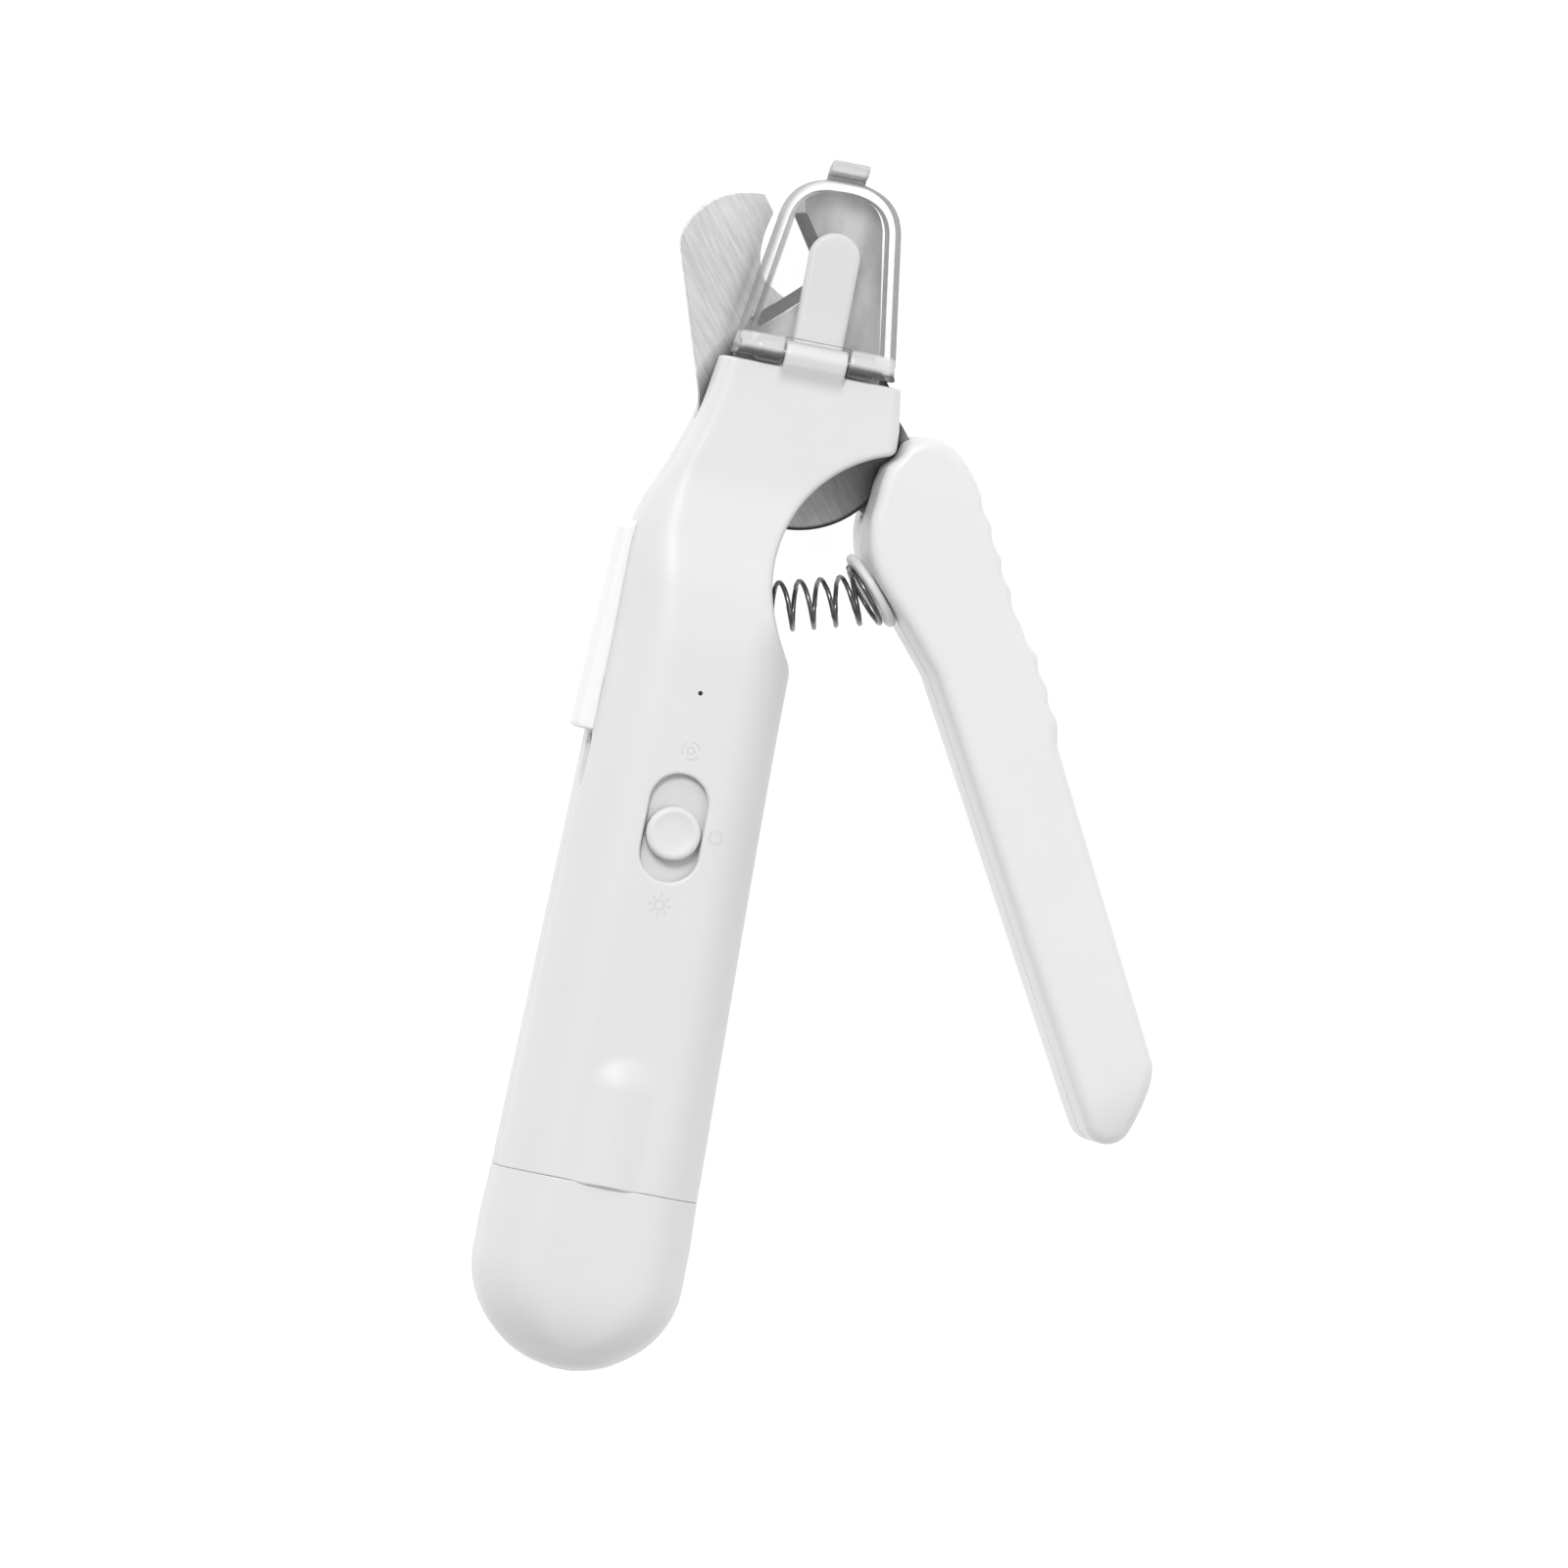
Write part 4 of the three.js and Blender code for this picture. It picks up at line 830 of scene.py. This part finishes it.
def make_grinder():
    """The motor's shaft and the drum in its uneven sleeve of grit, turned about z and laid along y."""
    lay_down = Matrix.Translation((0, 0, MID_Z * MM)) @ Matrix.Rotation(math.radians(-90), 4, "X")
    shaft = turned("motor_shaft_fine", [(0, -53.2), (0.8, -53.2), (1, -53), (1, -10), (0, -10)], 32)
    drum_profile = [(0, -54.6), (1.6, -54.6), (1.9, -54.3), (3.2, -54.3), (3.6, -54.6), (4, -54.4),
                    (4.1, -54.1), (4.1, -43), (3.9, -42.8), (1.3, -42.8), (1.3, -53.5), (0, -53.5)]
    drum = turned("grinding_drum_fine", drum_profile, 64)
    sleeve_profile = ([(4.35, -54.1), (4.9, -54.2), (5, -54.1)]
                      + [(5, -54 + 0.4 * i) for i in range(27)]
                      + [(5, -43.3), (4.9, -43.2), (4.35, -43.3), (4.35, -54.1)])
    sleeve = turned("grit_sleeve_fine", sleeve_profile, 120)
    rng = random.Random(4)
    for v in sleeve.data.vertices:
        if v.co.x ** 2 + v.co.y ** 2 > (4.95 * MM) ** 2:
            v.co.x *= 1 - 0.012 * rng.random()
            v.co.y *= 1 - 0.012 * rng.random()
    for piece, material, slot, node in ((shaft, BRIGHT_STEEL, "bright_steel", "motor_shaft"),
                                        (drum, BRIGHT_WHITE, "soft_white", "grinding_drum"),
                                        (sleeve, GRIT, "grit", "grit_sleeve")):
        piece.data.transform(lay_down)
        finish_piece(piece, "spindle", material, slot, node)


# -------- blades
def blade(name, points, cut, inset, z_cut, z_back, materials):
    """A plate whose cutting edges, the outline points in cut, are ground back by inset on one face."""
    points = np.array(points, float)
    n = len(points)
    ahead, behind = np.roll(points, -1, 0), np.roll(points, 1, 0)
    way = ahead - behind
    inward = np.stack([-way[:, 1], way[:, 0]], 1) / np.linalg.norm(way, axis=1)[:, None]
    back = points.copy()
    for i in cut:
        back[i] += inward[i] * inset
    lift = 0.35 if z_back > z_cut else -0.35
    land = np.column_stack([points, np.full(n, z_cut)])
    lip = np.column_stack([points, np.full(n, z_cut + lift)])
    far = np.column_stack([back, np.full(n, z_back)])
    vertices = np.concatenate([land, lip, far])
    vertices[:, 0] += PIVOT[0]
    vertices[:, 1] += PIVOT[1]
    turn = 1 if z_back > z_cut else -1
    faces = [list(range(n))[::-turn], [2 * n + i for i in range(n)][::turn]]
    ground = []
    for row in (0, 1):
        for i in range(n):
            j = (i + 1) % n
            faces.append([row * n + i, row * n + j, (row + 1) * n + j, (row + 1) * n + i][::turn])
            if row and i in cut and j in cut:
                ground.append(len(faces) - 1)
    made = new_object(name, vertices, faces, smooth=False)
    made.data.materials.append(materials[0])
    made.data.materials.append(materials[1])
    for i in ground:
        made.data.polygons[i].material_index = 1
    bevel(made, 0.07, 25)
    return made


def make_moving_blade():
    radius = 12.87
    outer = [(-10.2, 28.8)] + curve([(-10.2, 28.8), (-15.9, 28.6), (-18.4, 24.8)], 14)
    outer += curve([(-18.4, 24.8), (-20.1, 22.2), (-19.5, 20)], 10) + [(-13.6, 2.3)]
    lower = arc(0, 0, radius, -168.3, -41.9, 60)
    tang = [(14.6, -12.4), (19.4, -18.2), (24.4, -15.6), (22.2, -9), (19, -3.4), (14.8, 0.9)]
    upper = arc(0, 0, radius, 17.2, 49.7, 14)
    edge = [(-5.9, 16.6), (-7.9, 17.8)] + curve([(-7.9, 17.8), (-10.4, 20.8), (-8.6, 26.7)], 16)
    points = outer + lower + tang + upper + edge
    ground = range(len(points) - len(edge), len(points))
    faces = (MOVING_Z + BLADE, MOVING_Z)
    made = blade("moving_blade_fine", points, ground, 1.5, *faces, (JAW_STEEL, GRIND_STEEL))
    place_piece(made, "lever", "blade_steel", "moving_blade")


def make_fixed_blade():
    root = [(-9.5, -6), (0.3, -6), (4.2, -2), (9.2, 1.4), (8.7, 7.5), (5.5, 26.4)]
    crown = curve([(5.5, 26.4), (5, 29.8), (2.8, 31), (-0.4, 31)], 18)
    crown += curve([(-0.4, 31), (-2.6, 31), (-4.5, 30.7), (-5.3, 29.3)], 12)
    jaw = [(-6.2, 27.1), (-4.1, 24), (-2, 20.9)] + curve([(-2, 20.9), (-1.4, 20.1), (-2, 19.4)], 6)
    jaw += [(-5.5, 16.1), (-9.1, 12.8)]
    points = root + crown + jaw + [(-10.4, 8)]
    first = len(root) + len(crown)
    ground = range(first, first + len(jaw))
    faces = (FIXED_Z, FIXED_Z + BLADE)
    made = blade("fixed_blade_fine", points, ground, 1.5, *faces, (FIXED_STEEL, GRIND_STEEL))
    place_piece(made, "handle", "blade_steel", "fixed_blade")


# -------- lever
def grip_edge(s, out=0.0):
    """A point of the lever's outer edge, s along it and out from it."""
    ahead = Vector((math.cos(GRIP_HEADING), math.sin(GRIP_HEADING)))
    rise = min(max((s - SWELL_FROM) / 4, 0), 1) * min(max((SWELL_TO - s) / 4, 0), 1)
    away = out + SWELL * rise * rise * (3 - 2 * rise)
    return Vector((GRIP_X, GRIP_Y)) + ahead * s + Vector((-ahead.y, ahead.x)) * away


def lever_outline():
    brow, crown = grip_edge(-1.3), grip_edge(71.5)
    head = [tuple(brow)] + curve([brow, (brow.x - 2.2, -2.4), (19.8, 2.2), (16.6, 2.2)], 14)
    head += curve([(16.6, 2.2), (12.9, 2.2), (10.5, -1.6), (10.5, -6.6)], 14)
    inner = [(10.2, -10.4), (11.1, -14.4), (13.2, -17.6), (17.2, -21.8), (22.4, -27.8)]
    bend = spline([head[-1], *inner], 5)
    tip = arc(55.3, -79.3, 3.2, 210, 349, 20)
    end = curve([tip[-1], (60.2, -74.2), crown], 8)
    swell = [tuple(grip_edge(SWELL_TO - (SWELL_TO - SWELL_FROM) * i / 24)) for i in range(25)]
    return head + bend + tip + end + swell


def lever_form(x, y, z):
    px, py = from_pivot(x, y)
    beyond = np.maximum(0.6 * (px - 60) - 0.8 * (py + 71), 0)  # the tip droops past a slanting line
    faces = slab(z, LEVER_Z0, LEVER_Z1) + 0.035 * beyond ** 2
    form = both(outline(px, py, lever_outline()), faces, 1.4)
    for i in range(GROOVES):
        middle = grip_edge(-3 + i * GROOVE_PITCH, GROOVE_R - GROOVE_DEPTH)
        form = less(form, disc(px, py, *middle, GROOVE_R), 0.7)
    blade_slot = box(px, py, z, (7, -12.5, MOVING_Z - 0.35), (20, 3.4, MOVING_Z + BLADE + 0.35))
    corner_of_head = disc(px, py, 10.4, 0.3, 2.5)
    return less(less(form, blade_slot, 0.2), corner_of_head, 0.6)


def make_lever():
    low, high = (PIVOT[0] + 9, PIVOT[1] - 83.5, LEVER_Z0), (PIVOT[0] + 61, PIVOT[1] + 2.5, LEVER_Z1)
    cell = 0.4

    def front_field(x, y, z):
        return both(lever_form(x, y, z), MID_Z + SHELL_GAP - z, 0.3)

    def rear_field(x, y, z):
        form = both(lever_form(x, y, z), z - MID_Z + SHELL_GAP, 0.3)
        px, py = from_pivot(x, y)
        for sx, sy in LEVER_SCREWS:
            form = less(form, both(disc(px, py, sx, sy, 2.4), z - LEVER_Z0 - 2.6), 0.3)
        return form

    front = mould("lever_front_fine", front_field, (low[0], low[1], MID_Z), high, cell)
    finish_piece(front, "lever", LEVER_WHITE, "white_plastic", "lever_front_shell")
    rear = mould("lever_rear_fine", rear_field, low, (high[0], high[1], MID_Z), cell)
    finish_piece(rear, "lever", LEVER_WHITE, "white_plastic", "lever_rear_shell")


def make_spring():
    """The return spring. Its last coil is wider and lies flat on the cup."""
    steps = 260
    line = [on_curve(SPRING_LINE, i / steps) for i in range(steps + 1)]
    run = list(itertools.accumulate((b[0] - a[0]).length for a, b in zip(line, line[1:])))
    points = []
    for i in range(steps + 1):
        count = (SPRING_TURNS + 1) * i / steps
        place = min(count / SPRING_TURNS, 1)
        middle, way = line[bisect.bisect_left(run, place * run[-1])]
        widen = max((place - 0.88) / 0.12, 0)
        radius = SPRING_COIL + (SPRING_LAST - SPRING_COIL) * widen * widen * (3 - 2 * widen)
        turn = 2 * math.pi * (SPRING_START + count)
        across = radius * math.cos(turn)
        points.append((PIVOT[0] + middle.x - across * way.y, PIVOT[1] + middle.y + across * way.x,
                       MID_Z + radius * math.sin(turn)))
    spring = tube("return_spring_fine", points, SPRING_WIRE, 10)
    spring.data.materials.append(SPRING_STEEL)
    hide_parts("return_spring")
    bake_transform(spring)


def make_cup():
    """The round seat of the spring on the lever, turned about z and swung to face the spring."""
    turn = math.radians(222.4)
    profile = [(0, -5), (2.2, -5), (2.2, -0.6), (5.1, -0.6), (5.4, -0.4), (5.4, 0.2), (5.1, 0.45),
               (4.7, 0.4), (4.4, 0.15), (2.5, 0.15), (2.2, 0.4), (2.2, 0.7), (1.9, 1), (0, 1)]
    cup = turned("spring_cup_fine", profile, 56)
    along_x = Matrix.Rotation(math.radians(90), 4, "Y")
    place = Matrix.Translation(Vector((PIVOT[0] + 12.95, PIVOT[1] - 18.5, MID_Z)) * MM)
    cup.data.transform(place @ Matrix.Rotation(turn, 4, "Z") @ along_x)
    finish_piece(cup, "lever", LEVER_WHITE, "white_plastic", "spring_cup")


# -------- cover
def cover_outline():
    sides = [(-11.1, 8.1), (9.9, 8.1), (7.1, 26.6)]
    right = curve([(7.1, 26.6), (6.5, 30.4), (3.8, 32.3), (-0.6, 32.3)], 16)
    left = curve([(-0.6, 32.3), (-4.9, 32.3), (-7.7, 30.6), (-8.3, 26.6)], 16)
    return sides + right + left


def cover_field(x, y, z):
    px, py = from_pivot(x, y)
    edge = outline(px, py, cover_outline())
    floor, front, wall = FIXED_Z + BLADE + SLIT, 19.4, 1.4
    shell = both(edge, z - front, 1.3)
    shell = less(shell, both(edge + wall, z - front + 1.3, 0.6))
    shell = both(shell, floor - z, 0.15)
    inner, top = HINGE_HALF + SLIT, HINGE_Y + HINGE_R + SLIT
    shell = less(shell, box(px, py, z, (HINGE_X - inner, 6, 0), (HINGE_X + inner, top, 30)), 0.2)
    from_pin = np.hypot(py - HINGE_Y, z - HINGE_Z)
    knuckles = both(from_pin - HINGE_R, slab(np.abs(px - HINGE_X), inner, HINGE_REACH), 0.3)
    tab = [(31.3, 15.9), (32.9, 16), (34, 17.2), (34.7, 19.6), (34.2, 19.9), (33.2, 19.6), (32.5, 17.8),
           (31.3, 17.6)]
    lift = both(side_outline(py, z, tab), slab(px, -3.5, 1.4), 0.3)
    return less(plus(plus(shell, knuckles, 0.2), lift, 0.2), from_pin - 0.7)


def make_cover():
    cell = 0.3
    low, high = (PIVOT[0] - 11.2, PIVOT[1] + 8, 12.6), (PIVOT[0] + 11, PIVOT[1] + 35, 20.1)
    cover = mould("clear_cover_fine", cover_field, low, high, cell)
    finish_piece(cover, "cover", CLEAR, "clear_plastic", "clear_cover")


def make_light_guide():
    r = (GUIDE_RIGHT - GUIDE_LEFT) / 2
    foot = [(GUIDE_LEFT, GUIDE_FOOT), (GUIDE_RIGHT, GUIDE_FOOT)]
    bar = foot + arc((GUIDE_LEFT + GUIDE_RIGHT) / 2, GUIDE_TOP - r, r, 0, 180, 40)

    def field(x, y, z):
        px, py = from_pivot(x, y)
        return both(outline(px, py, bar), slab(z, 13, 15.6), 0.7)

    low = (PIVOT[0] + GUIDE_LEFT, PIVOT[1] + GUIDE_FOOT, 13)
    high = (PIVOT[0] + GUIDE_RIGHT, PIVOT[1] + GUIDE_TOP, 15.6)
    guide = mould("light_guide_fine", field, low, high, 0.3)
    finish_piece(guide, "handle", FROSTED, "frosted_plastic", "light_guide")


# -------- fasteners and inner pieces
def screw_field(x, y, z):
    """A pan head with a cross recess, its face at z 0 and its shank along +z."""
    head = both(np.hypot(x, y) - 2.1, slab(z, 0, 1.5), 0.35)
    cross = np.minimum(box(x, y, z, (-1.25, -0.28, -1), (1.25, 0.28, 0.9)),
                       box(x, y, z, (-0.28, -1.25, -1), (0.28, 1.25, 0.9)))
    cross = both(cross, np.hypot(x, y) - 1.25 + np.maximum(z, 0) * 0.9)
    head = less(head, cross, 0.06)
    return plus(head, both(np.hypot(x, y) - 0.85, slab(z, 1, 5), 0.1))


def make_screws():
    screw = mould("screw_pattern", screw_field, (-2.1, -2.1, 0), (2.1, 2.1, 5), 0.14)
    mesh = screw.data
    mesh.materials.append(BRIGHT_STEEL)
    bpy.data.objects.remove(screw)
    body = [(f"body_screw_{i + 1}", "handle", x, y) for i, (x, y) in enumerate(BODY_SCREWS)]
    lever = [(f"lever_screw_{i + 1}", "lever", PIVOT[0] + x, PIVOT[1] + y)
             for i, (x, y) in enumerate(LEVER_SCREWS)]
    for i, (node, owner, x, y) in enumerate(body + lever):
        made = bpy.data.objects.new(node + "_fine", mesh)
        scene.collection.objects.link(made)
        made.location = (x * MM, y * MM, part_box(node)[0][2])
        made.rotation_euler.z = 0.7 * i
        place_piece(made, owner, "bright_steel", node)


INNER = {
    BRIGHT_STEEL: ["slide_switch", "motor_can", "pivot_pin", "pivot_washer", "blade_screw_1",
                   "blade_screw_2", "hinge_pin"],
    DARK_STEEL: ["motor_magnet", "motor_rotor"],
    BRASS: ["motor_bush"],
    BLACK: ["motor_end_cap", "battery_lead_black", "motor_lead_black", "lamp_lead_black"],
    RED: ["battery_lead_red", "motor_lead_red", "lamp_lead_red"],
    BLUE: ["battery_cell"],
    BOARD: ["main_board", "lamp_board"],
    LAMP: ["lamp", "charge_indicator"],
}


def dress_inner_pieces():
    """Gives the carried-over CAD pieces their materials."""
    for material, nodes in INNER.items():
        for node in nodes:
            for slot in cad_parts[node].material_slots:
                slot.link = "OBJECT"
                slot.material = material


# -------- studio
PICTURE_WIDTH = 201.1  # across the whole view at the tool's middle, in millimetres
PIVOT_RIGHT, PIVOT_UP = 2.0, 45.4  # of the view's centre
LEAN = math.radians(11)  # of the handle, clockwise from upright
ROLL = math.radians(7.5)  # towards the left flank
LENS, SENSOR = 540, 36


def make_camera():
    away = Vector((-math.sin(ROLL), 0, math.cos(ROLL)))
    across = Vector((math.cos(ROLL), 0, math.sin(ROLL)))
    right = across * math.cos(LEAN) + Vector((0, 1, 0)) * math.sin(LEAN)
    up = away.cross(right)
    centre = Vector((*PIVOT, MID_Z)) - right * PIVOT_RIGHT - up * PIVOT_UP
    distance = PICTURE_WIDTH * LENS / SENSOR
    camera = bpy.data.objects.new("camera", bpy.data.cameras.new("camera"))
    camera.data.lens, camera.data.sensor_width = LENS, SENSOR
    camera.data.clip_end = 20
    turn = Matrix((right, up, away)).transposed().to_4x4()
    camera.matrix_world = Matrix.Translation((centre + away * distance) * MM) @ turn
    scene.collection.objects.link(camera)
    scene.camera = camera


def make_floor():
    """A pale floor that glows softly, as on a light table."""
    floor = new_object("floor", [(-3000, -3000, 0), (3000, -3000, 0), (3000, 3000, 0), (-3000, 3000, 0)],
                       [[0, 1, 2, 3]])
    floor.location.z = -0.0002
    n = Nodes("pale_floor")
    pale = n.ramp(n.noise(n.where, 3, 2), grey(0.29), grey(0.31))
    n.set(Base_Color=pale, Roughness=0.9, Emission_Color=(1, 1, 1, 1), Emission_Strength=0.87)
    n.shader.inputs["Specular IOR Level"].default_value = 0.1
    floor.data.materials.append(n.material)


def area_light(name, location, target, size, power):
    lamp = bpy.data.lights.new(name, "AREA")
    lamp.shape, lamp.size, lamp.energy = "DISK", size, power
    made = bpy.data.objects.new(name, lamp)
    made.location = location
    made.rotation_euler = (Vector(target) - Vector(location)).to_track_quat("-Z", "Y").to_euler()
    scene.collection.objects.link(made)


def make_world():
    """Soft light all round, weaker from below the tool's tail."""
    world = bpy.data.worlds.new("studio")
    scene.world = world
    world.use_nodes = True
    tree = world.node_tree
    way = tree.nodes.new("ShaderNodeTexCoord").outputs["Generated"]
    parts = tree.nodes.new("ShaderNodeSeparateXYZ")
    span = tree.nodes.new("ShaderNodeMapRange")
    tree.links.new(way, parts.inputs[0])
    tree.links.new(parts.outputs["Y"], span.inputs["Value"])
    for socket, value in (("From Min", -1), ("From Max", 0.4), ("To Min", 0.22), ("To Max", 0.6)):
        span.inputs[socket].default_value = value
    background = tree.nodes["Background"]
    background.inputs["Color"].default_value = (1, 1, 1, 1)
    tree.links.new(span.outputs["Result"], background.inputs["Strength"])


def make_lights():
    """A key light above the left flank and a weak wide one from the right."""
    tool = (0.02, 0.02, 0)
    area_light("key", (-0.5, 0.75, 1.5), tool, 0.6, 15)
    area_light("fill", (0.5, 0, 0.9), tool, 0.9, 1.5)


scene.view_settings.view_transform = "Standard"
for make in (make_camera, make_floor, make_world, make_lights, make_shells, make_side_grip, make_port,
             make_indicator, make_button, make_plate, make_symbols, make_cap, make_collar, make_grinder,
             make_moving_blade, make_fixed_blade, make_lever, make_spring, make_cup, make_cover,
             make_light_guide, make_screws, dress_inner_pieces):
    make()

bpy.context.view_layer.update()
